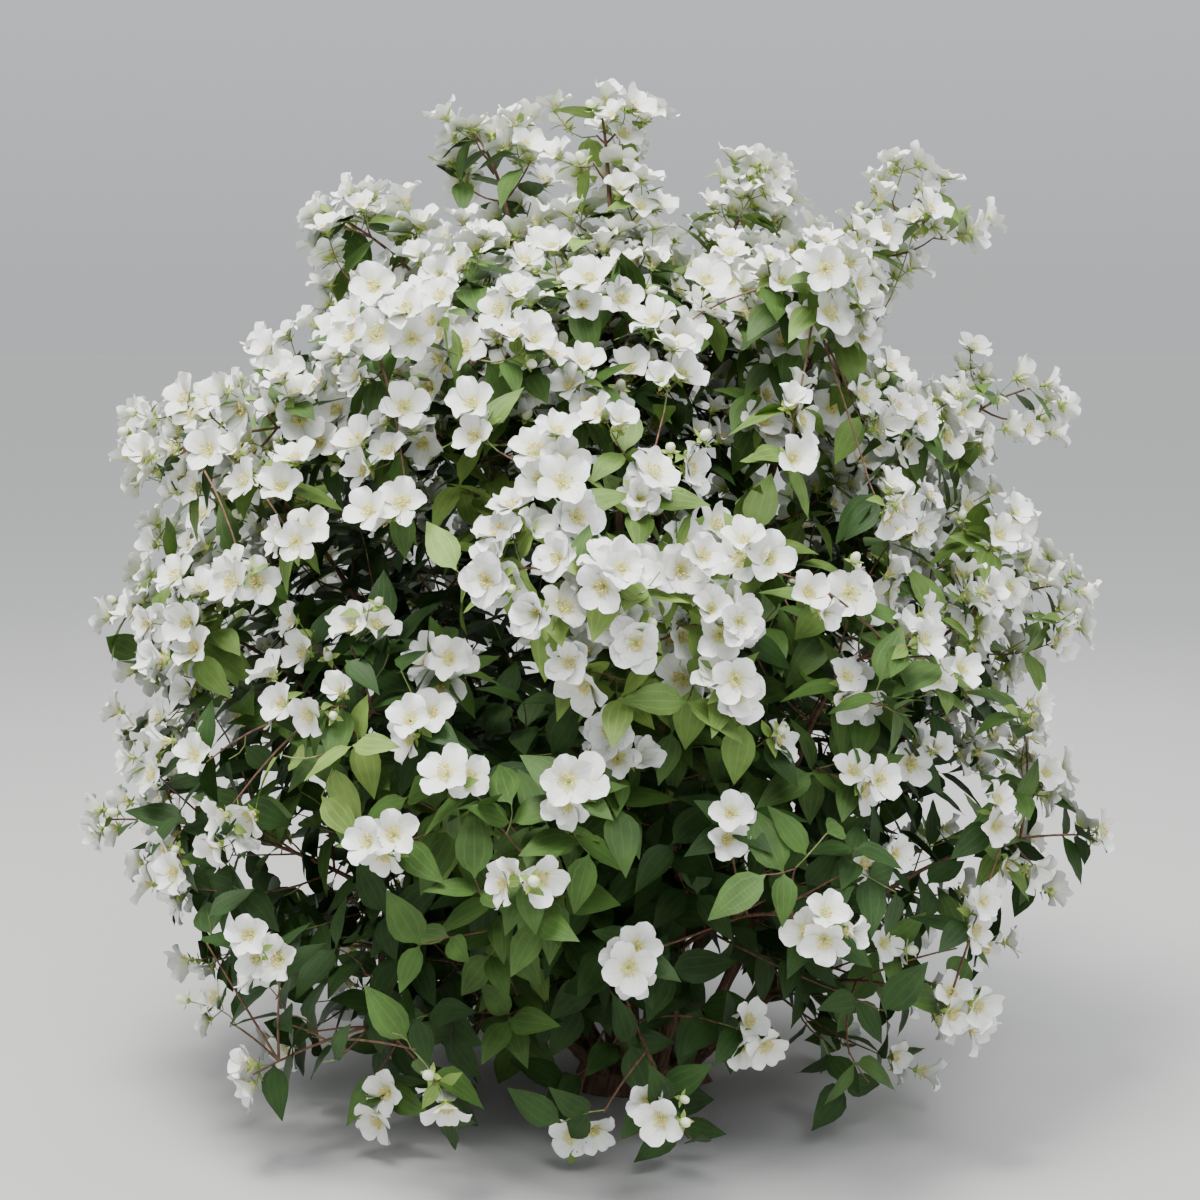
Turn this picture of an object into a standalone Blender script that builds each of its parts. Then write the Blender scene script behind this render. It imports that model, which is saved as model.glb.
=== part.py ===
# Mock orange in full bloom: a many-stemmed flowering shrub that is rooted in the ground.
# Metres, +Z up. The origin is on the flat cut under the root crown, at ground level.
# Azimuths are in degrees from +X, seen from above, so 270 is the front.
import math
import random

import bmesh
import bpy
from mathutils import Matrix, Quaternion, Vector
from mathutils.bvhtree import BVHTree

# The crown is a squared dome round this point
CROWN_CENTRE = Vector((-0.06, 0.0, 0.40))
CROWN_HALF_WIDTH = 0.54
CROWN_HALF_DEPTH = 0.52
CROWN_ABOVE = 0.68
CROWN_BELOW = 0.46
CROWN_SQUARENESS = 2.6
HEART_HEIGHT = 0.25  # blooms and leaves face away from this point of the crown's axis
LOWEST_FOLIAGE = 0.012

# Solids that face each other keep this gap
GAP = 0.0003
CLEARANCE = 0.0012
WELD = 0.000002

# The root crown
ROOT_CROWN_RADIUS = 0.078
ROOT_CROWN_HEIGHT = 0.046
ROOT_LOBES = 5
ROOT_LOBE_DEPTH = 0.14
STUB_LENGTH = 0.034
STUB_DEPTH = 0.012
STUB_FLARE = 1.25
INNER_RING = 0.026
INNER_RING_START = 40
OUTER_RING = 0.056
OUTER_RING_START = 20
INNER_LEAN = 10
INNER_REACH = 0.40  # canes that reach less far than this stand in the inner ring

# Canes: azimuth, reach and height of the topmost bloom, radius at the foot
CANES = {
    "cane_top": (180, 0.045, 1.105, 0.0085),
    "cane_top_left": (153, 0.220, 1.090, 0.0080),
    "cane_top_right": (22, 0.160, 1.045, 0.0078),
    "cane_right_spire": (357, 0.335, 1.020, 0.0078),
    "cane_left_shoulder": (190, 0.350, 0.990, 0.0078),
    "cane_left_arm": (176, 0.575, 0.755, 0.0072),
    "cane_right_arm": (3, 0.455, 0.800, 0.0072),
    "cane_left_mid": (184, 0.585, 0.555, 0.0066),
    "cane_right_mid": (358, 0.485, 0.580, 0.0066),
    "cane_left_low": (186, 0.600, 0.320, 0.0062),
    "cane_right_low": (354, 0.510, 0.300, 0.0062),
    "cane_front": (266, 0.500, 0.640, 0.0075),
    "cane_front_left": (230, 0.500, 0.500, 0.0068),
    "cane_front_right": (304, 0.460, 0.560, 0.0068),
    "cane_back": (95, 0.500, 0.780, 0.0075),
    "cane_back_left": (132, 0.530, 0.600, 0.0068),
    "cane_back_right": (52, 0.500, 0.640, 0.0068),
}
CANE_SIDES = 5
CANE_STEPS = 7
CANE_WOOD = 0.62  # share of the curve that is wood; the rest is the stem of the mass at its tip
CANE_TAPER = 0.42

# Masses that fill the dome between the canes' tips
FILLERS = 19
FILLER_LOW = 0.11
FILLER_HIGH = 0.92
FILLER_CLIMB = 30  # degrees; the climb that their stems like best
SHORTEST_STEM = 0.16
LONGEST_STEM = 0.46
STEM_STEPS = 4

# What a mass grows: its stem, flowering shoots from it and pairs of leaves
STEM_RADIUS = 0.0026
SHOOT_RADIUS = 0.0017
SHOOT_TAPER = 0.6
SHOOT_LENGTH = 0.130
SHOOT_NODES = (0.32, 0.56, 0.80)
LOW_SHOOT_NODES = (0.45, 0.75)
LOW_MASS = 0.26  # masses whose tips are lower than this flower less
LEAF_NODES = (0.22, 0.45, 0.68, 0.90)
LEAF_LENGTH = 0.128
LEAF_WIDTH = 0.074
LEAF_THICKNESS = 0.0020
LEAF_FOLD = 0.008
MOST_LEAVES = 10
BLOOM_WIDTH = 0.080
BLOOM_NOTCH = 0.62  # reach of the notch between two petals, as a share of the petals' reach
BLOOM_CUP = 0.25
BLOOM_THICKNESS = 0.0060
OVERHANG = 0.028  # how far a mass may stand out past its own tip
SITE_SHARE = 0.75  # the middle of a mass, as a share of its stem
ATTEMPTS = 24
REGROWTHS = 4
SEED = 7


def material(name, colour, roughness):
    made = bpy.data.materials.new(name)
    made.use_nodes = True
    shader = made.node_tree.nodes["Principled BSDF"]
    shader.inputs["Base Color"].default_value = (*colour, 1.0)
    shader.inputs["Roughness"].default_value = roughness
    shader.inputs["Metallic"].default_value = 0.0
    return made


def heading(azimuth):
    angle = math.radians(azimuth)
    return Vector((math.cos(angle), math.sin(angle), 0.0))


def bezier(controls, t):
    points = list(controls)
    while len(points) > 1:
        points = [a.lerp(b, t) for a, b in zip(points, points[1:])]
    return points[0]


def along_path(path, share):
    # Place and direction at a share of a path, counted by its stretches
    scaled = share * (len(path) - 1)
    k = min(int(scaled), len(path) - 2)
    return path[k].lerp(path[k + 1], scaled - k), (path[k + 1] - path[k]).normalized()


def dome_point(azimuth, height):
    rise = height - CROWN_CENTRE.z
    share = abs(rise) / (CROWN_ABOVE if rise > 0 else CROWN_BELOW)
    spread = max(0.0, 1.0 - share**CROWN_SQUARENESS) ** (1.0 / CROWN_SQUARENESS)
    out = heading(azimuth) * spread
    return CROWN_CENTRE + Vector((out.x * CROWN_HALF_WIDTH, out.y * CROWN_HALF_DEPTH, rise))


def outward(place):
    return (place - Vector((CROWN_CENTRE.x, CROWN_CENTRE.y, HEART_HEIGHT))).normalized()


def wander(rng, amount):
    return Vector((rng.uniform(-1, 1), rng.uniform(-1, 1), rng.uniform(-1, 1))) * amount


def opposite_sides(along, turn):
    first = Quaternion(along, turn) @ along.orthogonal().normalized()
    return first, -first


def link_object(name, mesh, shade):
    mesh.materials.append(shade)
    obj = bpy.data.objects.new(name, mesh)
    shrub.objects.link(obj)
    return obj


def mesh_from(shape, name):
    bmesh.ops.recalc_face_normals(shape, faces=shape.faces)
    mesh = bpy.data.meshes.new(name)
    shape.to_mesh(mesh)
    shape.free()
    return mesh


def tree_of(mesh, faces=slice(None)):
    return BVHTree.FromPolygons([v.co for v in mesh.vertices], [p.vertices for p in mesh.polygons[faces]])


# Limbs and shoots are lofts through rings of points


def rings_along(path, radii, sides):
    # Rings square to the path, each turned from the one before by the path's bend alone
    rings = []
    direction = (path[1] - path[0]).normalized()
    spoke = direction.orthogonal().normalized()
    for k, (place, radius) in enumerate(zip(path, radii)):
        bent = (path[min(k + 1, len(path) - 1)] - path[max(k - 1, 0)]).normalized()
        spoke = direction.rotation_difference(bent) @ spoke
        direction = bent
        spins = [Quaternion(direction, 2 * math.pi * s / sides) for s in range(sides)]
        rings.append([place + (spin @ spoke) * radius for spin in spins])
    return rings


def tapered(radius, share, count):
    return [radius * (1 + (share - 1) * k / (count - 1)) for k in range(count)]


def loft(rings):
    # A ring may have a whole multiple of the points of the ring before it, or be one point
    shape = bmesh.new()
    rows = [[shape.verts.new(p) for p in ring] for ring in rings]
    shape.faces.new(rows[0][::-1])
    for lower, upper in zip(rows, rows[1:]):
        steps = max(len(lower), len(upper))
        for k in range(steps):
            low = [lower[j % steps * len(lower) // steps] for j in (k, k + 1)]
            high = [upper[j % steps * len(upper) // steps] for j in (k + 1, k)]
            shape.faces.new(list(dict.fromkeys(low + high)))
    if len(rows[-1]) > 1:
        shape.faces.new(rows[-1])
    return mesh_from(shape, "limb")


def limb(path, radii, sides):
    return loft(rings_along(path, radii, sides))


def seat(rings, face_point, face_normal):
    # Slides the first ring along the limb, to lie a gap clear of the flat face that carries it
    plane = face_point + face_normal * GAP
    along = (sum(rings[1], Vector()) - sum(rings[0], Vector())).normalized()
    rings[0] = [p + along * ((plane - p).dot(face_normal) / along.dot(face_normal)) for p in rings[0]]


def flowering_rings(path, radius):
    # A twig whose end widens into four square petals round a shallow cup
    rings = rings_along(path, tapered(radius, SHOOT_TAPER, len(path)), 3)
    centre = path[-1]
    face = (centre - path[-2]).normalized()
    spoke = (rings[-1][0] - centre).normalized()
    across = face.cross(spoke)
    rim = []
    for k in range(12):
        reach = BLOOM_WIDTH / 2 * (BLOOM_NOTCH if k % 3 == 0 else 1)
        angle = math.radians(30 * k)
        out = spoke * math.cos(angle) + across * math.sin(angle)
        rim.append(centre + out * reach + face * (reach * BLOOM_CUP + BLOOM_THICKNESS / 2))
    return rings + [rim, [centre + face * BLOOM_THICKNESS]]


def twig_face_count(path):
    return 1 + 3 * (len(path) - 1)


def leaf_point(unit):
    # A small sphere's ring becomes root, sides and tip, and its poles the blade's two faces
    if abs(unit.z) > 0.5:
        return Vector((0.45 * LEAF_LENGTH, 0.0, math.copysign(LEAF_THICKNESS / 2, unit.z)))
    if abs(unit.y) > 0.5:
        return Vector((0.42 * LEAF_LENGTH, math.copysign(LEAF_WIDTH / 2, unit.y), LEAF_FOLD))
    return Vector((LEAF_LENGTH, 0, -LEAF_FOLD)) if unit.x > 0 else Vector((0, 0, 0))


def leaf_mesh(root, along, face_up):
    shape = bmesh.new()
    bmesh.ops.create_uvsphere(shape, u_segments=4, v_segments=2, radius=1.0)
    for vertex in shape.verts:
        vertex.co = leaf_point(vertex.co)
    up = (face_up - along * face_up.dot(along)).normalized()
    turn = Matrix((along, up.cross(along), up)).transposed().to_4x4()
    bmesh.ops.transform(shape, matrix=Matrix.Translation(root) @ turn, verts=shape.verts)
    return mesh_from(shape, "leaf")


# Joining


def fuse(base, pieces):
    # One union joins the pieces to the base, and the pieces are removed
    joined = bpy.data.collections.new("joined")
    bpy.context.scene.collection.children.link(joined)
    for piece in pieces:
        joined.objects.link(bpy.data.objects.new("piece", piece))
    union = base.modifiers.new("union", "BOOLEAN")
    union.operation = "UNION"
    union.operand_type = "COLLECTION"
    union.collection = joined
    for solver in ("MANIFOLD", "EXACT"):
        union.solver = solver
        graph = bpy.context.evaluated_depsgraph_get()
        mesh = bpy.data.meshes.new_from_object(base.evaluated_get(graph))
        sound = weld_and_test(mesh)
        if sound:
            break
    base.modifiers.remove(union)
    base.data = mesh
    for piece in list(joined.objects):
        bpy.data.meshes.remove(piece.data)
    bpy.data.collections.remove(joined)
    return sound


def weld_and_test(mesh):
    # Welds what the union left almost touching, then looks for open edges
    shape = bmesh.new()
    shape.from_mesh(mesh)
    bmesh.ops.triangulate(shape, faces=shape.faces)
    bmesh.ops.remove_doubles(shape, verts=shape.verts, dist=WELD)
    sound = all(len(edge.link_faces) == 2 for edge in shape.edges)
    shape.to_mesh(mesh)
    shape.free()
    return sound


# Root crown


def cane_feet():
    # Each ring of feet is spaced evenly, in the order of the canes' azimuths
    feet = {}
    for inner in (True, False):
        radius = INNER_RING if inner else OUTER_RING
        start = INNER_RING_START if inner else OUTER_RING_START
        ring = [name for name, cane in CANES.items() if (cane[1] < INNER_REACH) == inner]
        ring.sort(key=lambda name: (CANES[name][0] + 5) % 360)
        for k, name in enumerate(ring):
            _, reach, height, _ = CANES[name]
            lean = math.radians(INNER_LEAN) if inner else 0.85 * math.atan2(reach, height)
            out = heading(start + 360 / len(ring) * k)
            rise = out * math.sin(lean) + Vector((0, 0, math.cos(lean)))
            surface = ROOT_CROWN_HEIGHT * math.sqrt(1 - (radius / ROOT_CROWN_RADIUS) ** 2)
            feet[name] = (out * radius + Vector((0, 0, surface - STUB_DEPTH)), rise)
    return feet


def build_root_crown(feet):
    # A low dome with root lobes, cut flat at the ground, and a stub for each cane
    shape = bmesh.new()
    bmesh.ops.create_uvsphere(shape, u_segments=3 * ROOT_LOBES, v_segments=6, radius=1.0)
    for vertex in shape.verts:
        angle = math.atan2(vertex.co.y, vertex.co.x)
        flare = 1 + ROOT_LOBE_DEPTH * math.cos(ROOT_LOBES * angle) * (1 - abs(vertex.co.z))
        vertex.co.x *= ROOT_CROWN_RADIUS * flare
        vertex.co.y *= ROOT_CROWN_RADIUS * flare
        vertex.co.z *= ROOT_CROWN_HEIGHT
    geometry = shape.verts[:] + shape.edges[:] + shape.faces[:]
    bmesh.ops.bisect_plane(shape, geom=geometry, plane_co=(0, 0, 0), plane_no=(0, 0, 1), clear_inner=True)
    bmesh.ops.holes_fill(shape, edges=shape.edges, sides=0)
    crown = link_object("root_crown", mesh_from(shape, "root_crown"), bark)
    stubs = []
    for name, (base, rise) in feet.items():
        radius = CANES[name][3] * STUB_FLARE
        stubs.append(limb([base, base + rise * STUB_LENGTH], [radius * STUB_FLARE, radius], CANE_SIDES))
    fuse(crown, stubs)


# Canes


def build_cane(name, foot, rise):
    # A cane climbs steeply from its stub, then arches over to its tip
    azimuth, reach, height, radius = CANES[name]
    tip = heading(azimuth) * reach + Vector((0, 0, height))
    shoulder = heading(azimuth) * (0.55 * reach) + Vector((0, 0, 0.92 * height + 0.03))
    controls = [foot, foot + rise * (0.40 * height + 0.04), shoulder, tip]
    path = [bezier(controls, CANE_WOOD * k / CANE_STEPS) for k in range(CANE_STEPS + 1)]
    radii = tapered(radius, CANE_TAPER, len(path))
    rings = rings_along(path, radii, CANE_SIDES)
    seat(rings, foot, rise)
    mesh = loft(rings)
    link_object(name, mesh, bark)
    guard = tree_of(limb(path, [r + CLEARANCE for r in radii], CANE_SIDES))
    return {"controls": controls, "path": path, "tree": tree_of(mesh), "guard": guard}


# Stems of the masses


def stem_guard(path):
    return tree_of(limb(path, [STEM_RADIUS + CLEARANCE] * len(path), 3))


def tip_stem(cane):
    # The stem that goes on from a cane's cut end to the crown's outline
    span = 1 - CANE_WOOD
    path = [bezier(cane["controls"], CANE_WOOD + span * k / STEM_STEPS) for k in range(STEM_STEPS + 1)]
    normal = (cane["path"][-1] - cane["path"][-2]).normalized()
    return {"path": path, "face": cane["path"][-1], "normal": normal}


def filler_tips(taken):
    # Each next tip is the point of the dome that lies farthest from all the masses so far
    levels = 13
    grid = [
        dome_point(azimuth, FILLER_LOW + (FILLER_HIGH - FILLER_LOW) * level / levels)
        for level in range(levels + 1)
        for azimuth in range(0, 360, 8)
    ]
    tips = []
    for _ in range(FILLERS):
        tips.append(max(grid, key=lambda p: min((p - t).length for t in taken + tips)))
    return sorted(tips, key=lambda p: p.z)


def carriers(tip, canes):
    # Places on canes that could carry a stem to the tip, the most natural one first
    choices = []
    for name, cane in canes.items():
        for k in range(2, 10):
            start = bezier(cane["controls"], CANE_WOOD * k / 10)
            run = tip - start
            climb = math.degrees(math.atan2(run.z, math.hypot(run.x, run.y)))
            if SHORTEST_STEM < run.length < LONGEST_STEM:
                choices.append((run.length + 0.006 * abs(climb - FILLER_CLIMB), name, start))
    return sorted(choices, key=lambda choice: choice[0])


def filler_stem(tip, canes, guards):
    # The stem starts a gap clear of its cane's flank and keeps clear of every other limb
    for _, name, start in carriers(tip, canes):
        middle = start.lerp(tip, 0.5) + Vector((0, 0, 0.16 * (tip - start).length))
        path = [bezier([start, middle, tip], k / STEM_STEPS) for k in range(STEM_STEPS + 1)]
        inward = (start - path[1]).normalized()
        hit, normal, _, _ = canes[name]["tree"].ray_cast(start - inward * 0.03, inward)
        if hit is None or normal.dot(-inward) < 0.55:
            continue
        path[0] = hit + normal * GAP
        guard = stem_guard(path)
        if not any(guard.overlap(g) for n, g in guards.items() if n != name):
            return {"path": path, "face": hit, "normal": normal}
    raise ValueError(f"no cane can carry a mass at {tip}")


# Masses


class Piece:
    # A shoot or a leaf: its mesh, how many of its first faces are twig, its middle and its path

    def __init__(self, mesh, twig_faces, centre, path):
        self.mesh = mesh
        self.twig_faces = twig_faces
        self.centre = centre
        self.path = path
        self.tree = tree_of(mesh)


class Growth:
    # What one mass has grown so far, and the space that it has to keep to

    def __init__(self, walls, guards, neighbours):
        self.walls = walls
        self.guards = guards
        self.centres = list(neighbours)
        self.twigs = []
        self.blades = []
        self.meshes = []

    def add(self, piece):
        if piece.twig_faces:
            self.twigs.append(tree_of(piece.mesh, slice(0, piece.twig_faces)))
        self.blades.append(tree_of(piece.mesh, slice(piece.twig_faces, None)))
        self.meshes.append(piece.mesh)
        self.centres.append(piece.centre)

    def is_clear(self, piece, carrier):
        for vertex in piece.mesh.vertices:
            if vertex.co.z < LOWEST_FOLIAGE:
                return False
            if any((vertex.co - point).dot(normal) < CLEARANCE for point, normal in self.walls):
                return False
        others = self.guards + self.blades + [t for k, t in enumerate(self.twigs) if k != carrier]
        return not any(piece.tree.overlap(other) for other in others)

    def add_best(self, attempts, carrier):
        # Of the attempts that are clear of everything, keeps the one farthest from other pieces
        best = None
        most_room = 0.0
        for piece in attempts:
            room = min((piece.centre - centre).length for centre in self.centres)
            if room > most_room and self.is_clear(piece, carrier):
                piece, best = best, piece
                most_room = room
            if piece:
                bpy.data.meshes.remove(piece.mesh)
        if best:
            self.add(best)
        return best


def stem_piece(stem):
    # The mass's own stem and the bloom on its tip
    rings = flowering_rings(stem["path"], STEM_RADIUS)
    seat(rings, stem["face"], stem["normal"])
    return Piece(loft(rings), twig_face_count(stem["path"]), stem["path"][-1], stem["path"])


def shoot_attempts(rng, node, along, side, share):
    # A side shoot leaves its node sideways, bends outwards and ends in a bloom that faces out
    for _ in range(ATTEMPTS):
        length = SHOOT_LENGTH * rng.uniform(0.4, 1.1) * (1.1 - 0.4 * share)
        lead = (side + along * rng.uniform(0.1, 1.0) + wander(rng, 0.5)).normalized()
        knee = node + lead * (length * 0.6)
        face = (lead * 0.5 + outward(knee) * 0.8 + wander(rng, 0.35)).normalized()
        path = [node, knee, knee + face * (length * 0.4)]
        mesh = loft(flowering_rings(path, SHOOT_RADIUS))
        yield Piece(mesh, twig_face_count(path), path[-1], path)


def leaf_attempts(rng, node, along, side):
    # A leaf leans along its twig, hangs a little and turns its face up and out
    for _ in range(ATTEMPTS):
        lead = (side + along * 0.5 + Vector((0, 0, -0.2)) + wander(rng, 0.5)).normalized()
        face_up = outward(node) + Vector((0, 0, 0.5)) + wander(rng, 0.8)
        mesh = leaf_mesh(node + lead * (0.3 * SHOOT_RADIUS), lead, face_up)
        yield Piece(mesh, 0, node + lead * (LEAF_LENGTH / 2), [node])


def grow_shoots(growth, path, rng):
    # Pairs of flowering shoots, each pair square to the one below
    shoots = []
    turn = rng.uniform(0, math.pi)
    for share in LOW_SHOOT_NODES if path[-1].z < LOW_MASS else SHOOT_NODES:
        node, along = along_path(path, share)
        for side in opposite_sides(along, turn):
            shoots.append(growth.add_best(shoot_attempts(rng, node, along, side, share), 0))
        turn += math.pi / 2
    return [shoot.path for shoot in shoots if shoot]


def grow_leaves(growth, path, shoots, rng):
    # Pairs of leaves on the shoots and on the stem, until the mass has enough
    places = [(*along_path(shoot, 0.35), k + 1) for k, shoot in enumerate(shoots)]
    places += [(*along_path(path, share), 0) for share in LEAF_NODES]
    rng.shuffle(places)
    turn = rng.uniform(0, math.pi)
    leaves = 0
    for node, along, carrier in places:
        for side in opposite_sides(along, turn):
            if leaves < MOST_LEAVES and growth.add_best(leaf_attempts(rng, node, along, side), carrier):
                leaves += 1
        turn += math.pi / 2


def grow_mass(name, stem, growth, rng):
    # The mass as one solid, or None where its pieces don't join soundly
    path = stem["path"]
    base = stem_piece(stem)
    growth.add(base)
    growth.meshes.clear()
    shoots = grow_shoots(growth, path, rng)
    grow_leaves(growth, path, shoots, rng)
    mass = link_object(name, base.mesh, leafy if path[-1].z < LOW_MASS else flowering)
    if fuse(mass, growth.meshes):
        return mass
    bpy.data.objects.remove(mass)
    return None


def grow_masses(stems, guards):
    # Each mass keeps to the space that is nearer to its middle than to any other's
    sites = {name: along_path(stem["path"], SITE_SHARE)[0] for name, stem in stems.items()}
    centres = []
    for k, (name, stem) in enumerate(stems.items()):
        own = sites[name]
        tip = stem["path"][-1]
        walls = [(own.lerp(s, 0.5), (own - s).normalized()) for s in sites.values() if s != own]
        walls.append((tip + outward(tip) * OVERHANG, -outward(tip)))
        limbs = [guard for n, guard in guards.items() if n != name]
        for attempt in range(REGROWTHS):
            growth = Growth(walls, limbs, centres)
            if grow_mass(name, stem, growth, random.Random(SEED + k + 100 * attempt)):
                break
        else:
            raise ValueError(f"{name} doesn't join soundly")
        centres = growth.centres


def main():
    feet = cane_feet()
    build_root_crown(feet)
    canes = {name: build_cane(name, base + rise * STUB_LENGTH, rise) for name, (base, rise) in feet.items()}
    stems = {name.replace("cane", "mass"): tip_stem(cane) for name, cane in canes.items()}
    guards = {name: cane["guard"] for name, cane in canes.items()}
    guards.update({name: stem_guard(stem["path"]) for name, stem in stems.items()})
    for k, tip in enumerate(filler_tips([stem["path"][-1] for stem in stems.values()])):
        name = f"mass_side_{k + 1:02d}"
        stems[name] = filler_stem(tip, canes, guards)
        guards[name] = stem_guard(stems[name]["path"])
    grow_masses(stems, guards)


for old_object in list(bpy.data.objects):
    bpy.data.objects.remove(old_object)
shrub = bpy.data.collections.new("mock_orange")
bpy.context.scene.collection.children.link(shrub)
bark = material("bark", (0.145, 0.083, 0.055), 0.85)
flowering = material("flowering_shoots", (0.62, 0.68, 0.50), 0.6)
leafy = material("leafy_shoots", (0.17, 0.28, 0.10), 0.6)
main()
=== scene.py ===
# Mock orange in full bloom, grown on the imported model's canes.
# Azimuths are in degrees from +X, seen from above; lengths are in metres.
import math
import random

import bmesh
import bpy
import numpy as np
from mathutils import Matrix, Quaternion, Vector, noise
from mathutils.bvhtree import BVHTree


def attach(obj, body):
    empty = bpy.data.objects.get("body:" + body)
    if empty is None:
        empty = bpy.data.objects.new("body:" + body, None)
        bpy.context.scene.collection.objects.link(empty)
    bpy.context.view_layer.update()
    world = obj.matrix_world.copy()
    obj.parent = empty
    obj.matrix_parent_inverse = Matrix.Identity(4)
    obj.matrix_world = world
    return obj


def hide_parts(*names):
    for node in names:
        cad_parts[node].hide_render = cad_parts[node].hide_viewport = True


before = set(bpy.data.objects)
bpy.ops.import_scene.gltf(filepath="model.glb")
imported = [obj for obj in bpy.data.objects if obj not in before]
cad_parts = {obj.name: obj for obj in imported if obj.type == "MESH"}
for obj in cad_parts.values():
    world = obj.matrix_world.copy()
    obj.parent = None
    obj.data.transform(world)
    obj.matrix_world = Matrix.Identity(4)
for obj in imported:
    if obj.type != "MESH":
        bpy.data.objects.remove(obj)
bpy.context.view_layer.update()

seed = 11
up = Vector((0, 0, 1))
canes = sorted(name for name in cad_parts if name.startswith("cane"))
masses = sorted(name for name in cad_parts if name.startswith("mass"))
print("frame loaded:", len(canes), "canes and", len(masses), "masses")


# The rule that the solids were made by, written again

crown = {
    "centre": Vector((-0.06, 0.0, 0.40)),
    "halfWidth": 0.54,
    "halfDepth": 0.52,
    "above": 0.68,
    "below": 0.46,
    "squareness": 2.6,
    "heart": Vector((-0.06, 0.0, 0.25)),  # blooms and leaves face away from here
    "bloomRise": 0.40,  # how much blooms look up or down, as a share of that
    "lowest": 0.014,  # least height of a twig's end or a leaf's tip
    "lowestBloom": 0.035,  # and of a bloom's middle, so that its petals clear the ground
}

cane = {
    "table": {  # azimuth, reach and height of the topmost bloom, radius at the foot
        "cane_top": (180, 0.045, 1.105, 0.0085),
        "cane_top_left": (153, 0.220, 1.090, 0.0080),
        "cane_top_right": (22, 0.160, 1.045, 0.0078),
        "cane_right_spire": (357, 0.335, 1.020, 0.0078),
        "cane_left_shoulder": (190, 0.350, 0.990, 0.0078),
        "cane_left_arm": (176, 0.575, 0.755, 0.0072),
        "cane_right_arm": (3, 0.455, 0.800, 0.0072),
        "cane_left_mid": (184, 0.585, 0.555, 0.0066),
        "cane_right_mid": (358, 0.485, 0.580, 0.0066),
        "cane_left_low": (186, 0.600, 0.320, 0.0062),
        "cane_right_low": (354, 0.510, 0.300, 0.0062),
        "cane_front": (266, 0.500, 0.640, 0.0075),
        "cane_front_left": (230, 0.500, 0.500, 0.0068),
        "cane_front_right": (304, 0.460, 0.560, 0.0068),
        "cane_back": (95, 0.500, 0.780, 0.0075),
        "cane_back_left": (132, 0.530, 0.600, 0.0068),
        "cane_back_right": (52, 0.500, 0.640, 0.0068),
    },
    "wood": 0.62,  # share of the curve; the rest is the stem of the mass at its tip
    "taper": 0.42,
    "innerReach": 0.40,
    "innerRing": 0.026,
    "outerRing": 0.056,
    "innerStart": 40,
    "outerStart": 20,
    "innerLean": 10,
    "outerLean": 0.85,  # share of the lean from the foot to the tip
    "turned": 5,  # each ring is counted from this far before +X
    "crownRadius": 0.078,
    "crownHeight": 0.046,
    "stubDepth": 0.012,
    "stubLength": 0.034,
    "footUp": (0.40, 0.04),  # how far it first follows its stub: share of the tip's height, and more
    "shoulderUp": (0.92, 0.03),  # height of the curve's shoulder, told the same way
    "shoulderOut": 0.55,  # share of the tip's reach
}

filler = {
    "count": 19,
    "low": 0.11,
    "high": 0.92,
    "levels": 13,
    "turnStep": 8,
    "shortest": 0.16,
    "longest": 0.46,
    "arch": 0.16,  # rise of its middle, as a share of its length
    "starts": range(2, 10),  # tenths of a cane's wood where one may start
    "looks": (0.1, 0.3, 0.5, 0.7),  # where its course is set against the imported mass
    "radius": 0.0028,
}
stemSteps = 12


def heading(azimuth):
    angle = math.radians(azimuth)
    return Vector((math.cos(angle), math.sin(angle), 0.0))


def bezier(controls, t):
    points = list(controls)
    while len(points) > 1:
        points = [a.lerp(b, t) for a, b in zip(points, points[1:])]
    return points[0]


def domePoint(azimuth, height):
    rise = height - crown["centre"].z
    share = abs(rise) / (crown["above"] if rise > 0 else crown["below"])
    q = crown["squareness"]
    out = heading(azimuth) * max(0.0, 1.0 - share**q) ** (1.0 / q)
    return crown["centre"] + Vector((out.x * crown["halfWidth"], out.y * crown["halfDepth"], rise))


def domeShare(place):
    # 0 in the middle of the crown and 1 on its outer surface
    run = place - crown["centre"]
    flat = math.hypot(run.x / crown["halfWidth"], run.y / crown["halfDepth"])
    tall = abs(run.z) / (crown["above"] if run.z > 0 else crown["below"])
    q = crown["squareness"]
    return (flat**q + tall**q) ** (1 / q)


def outward(place):
    return (place - crown["heart"]).normalized()


def facing(place):
    # As blooms face: outwards, and only a little up
    out = outward(place)
    return Vector((out.x, out.y, crown["bloomRise"] * out.z)).normalized()


def caneFeet():
    feet = {}
    for inner in (True, False):
        radius = cane["innerRing"] if inner else cane["outerRing"]
        start = cane["innerStart"] if inner else cane["outerStart"]
        ring = [name for name, row in cane["table"].items() if (row[1] < cane["innerReach"]) == inner]
        ring.sort(key=lambda name: (cane["table"][name][0] + cane["turned"]) % 360)
        for k, name in enumerate(ring):
            _, reach, height, _ = cane["table"][name]
            lean = cane["outerLean"] * math.atan2(reach, height)
            if inner:
                lean = math.radians(cane["innerLean"])
            out = heading(start + 360 / len(ring) * k)
            rise = out * math.sin(lean) + up * math.cos(lean)
            surface = cane["crownHeight"] * math.sqrt(1 - (radius / cane["crownRadius"]) ** 2)
            feet[name] = (out * radius + up * (surface - cane["stubDepth"]), rise)
    return feet


def caneControls(name, base, rise):
    azimuth, reach, height, _ = cane["table"][name]
    foot = base + rise * cane["stubLength"]
    upright = foot + rise * (cane["footUp"][0] * height + cane["footUp"][1])
    shoulder = heading(azimuth) * (cane["shoulderOut"] * reach)
    shoulder += up * (cane["shoulderUp"][0] * height + cane["shoulderUp"][1])
    return [foot, upright, shoulder, heading(azimuth) * reach + up * height]


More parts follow.
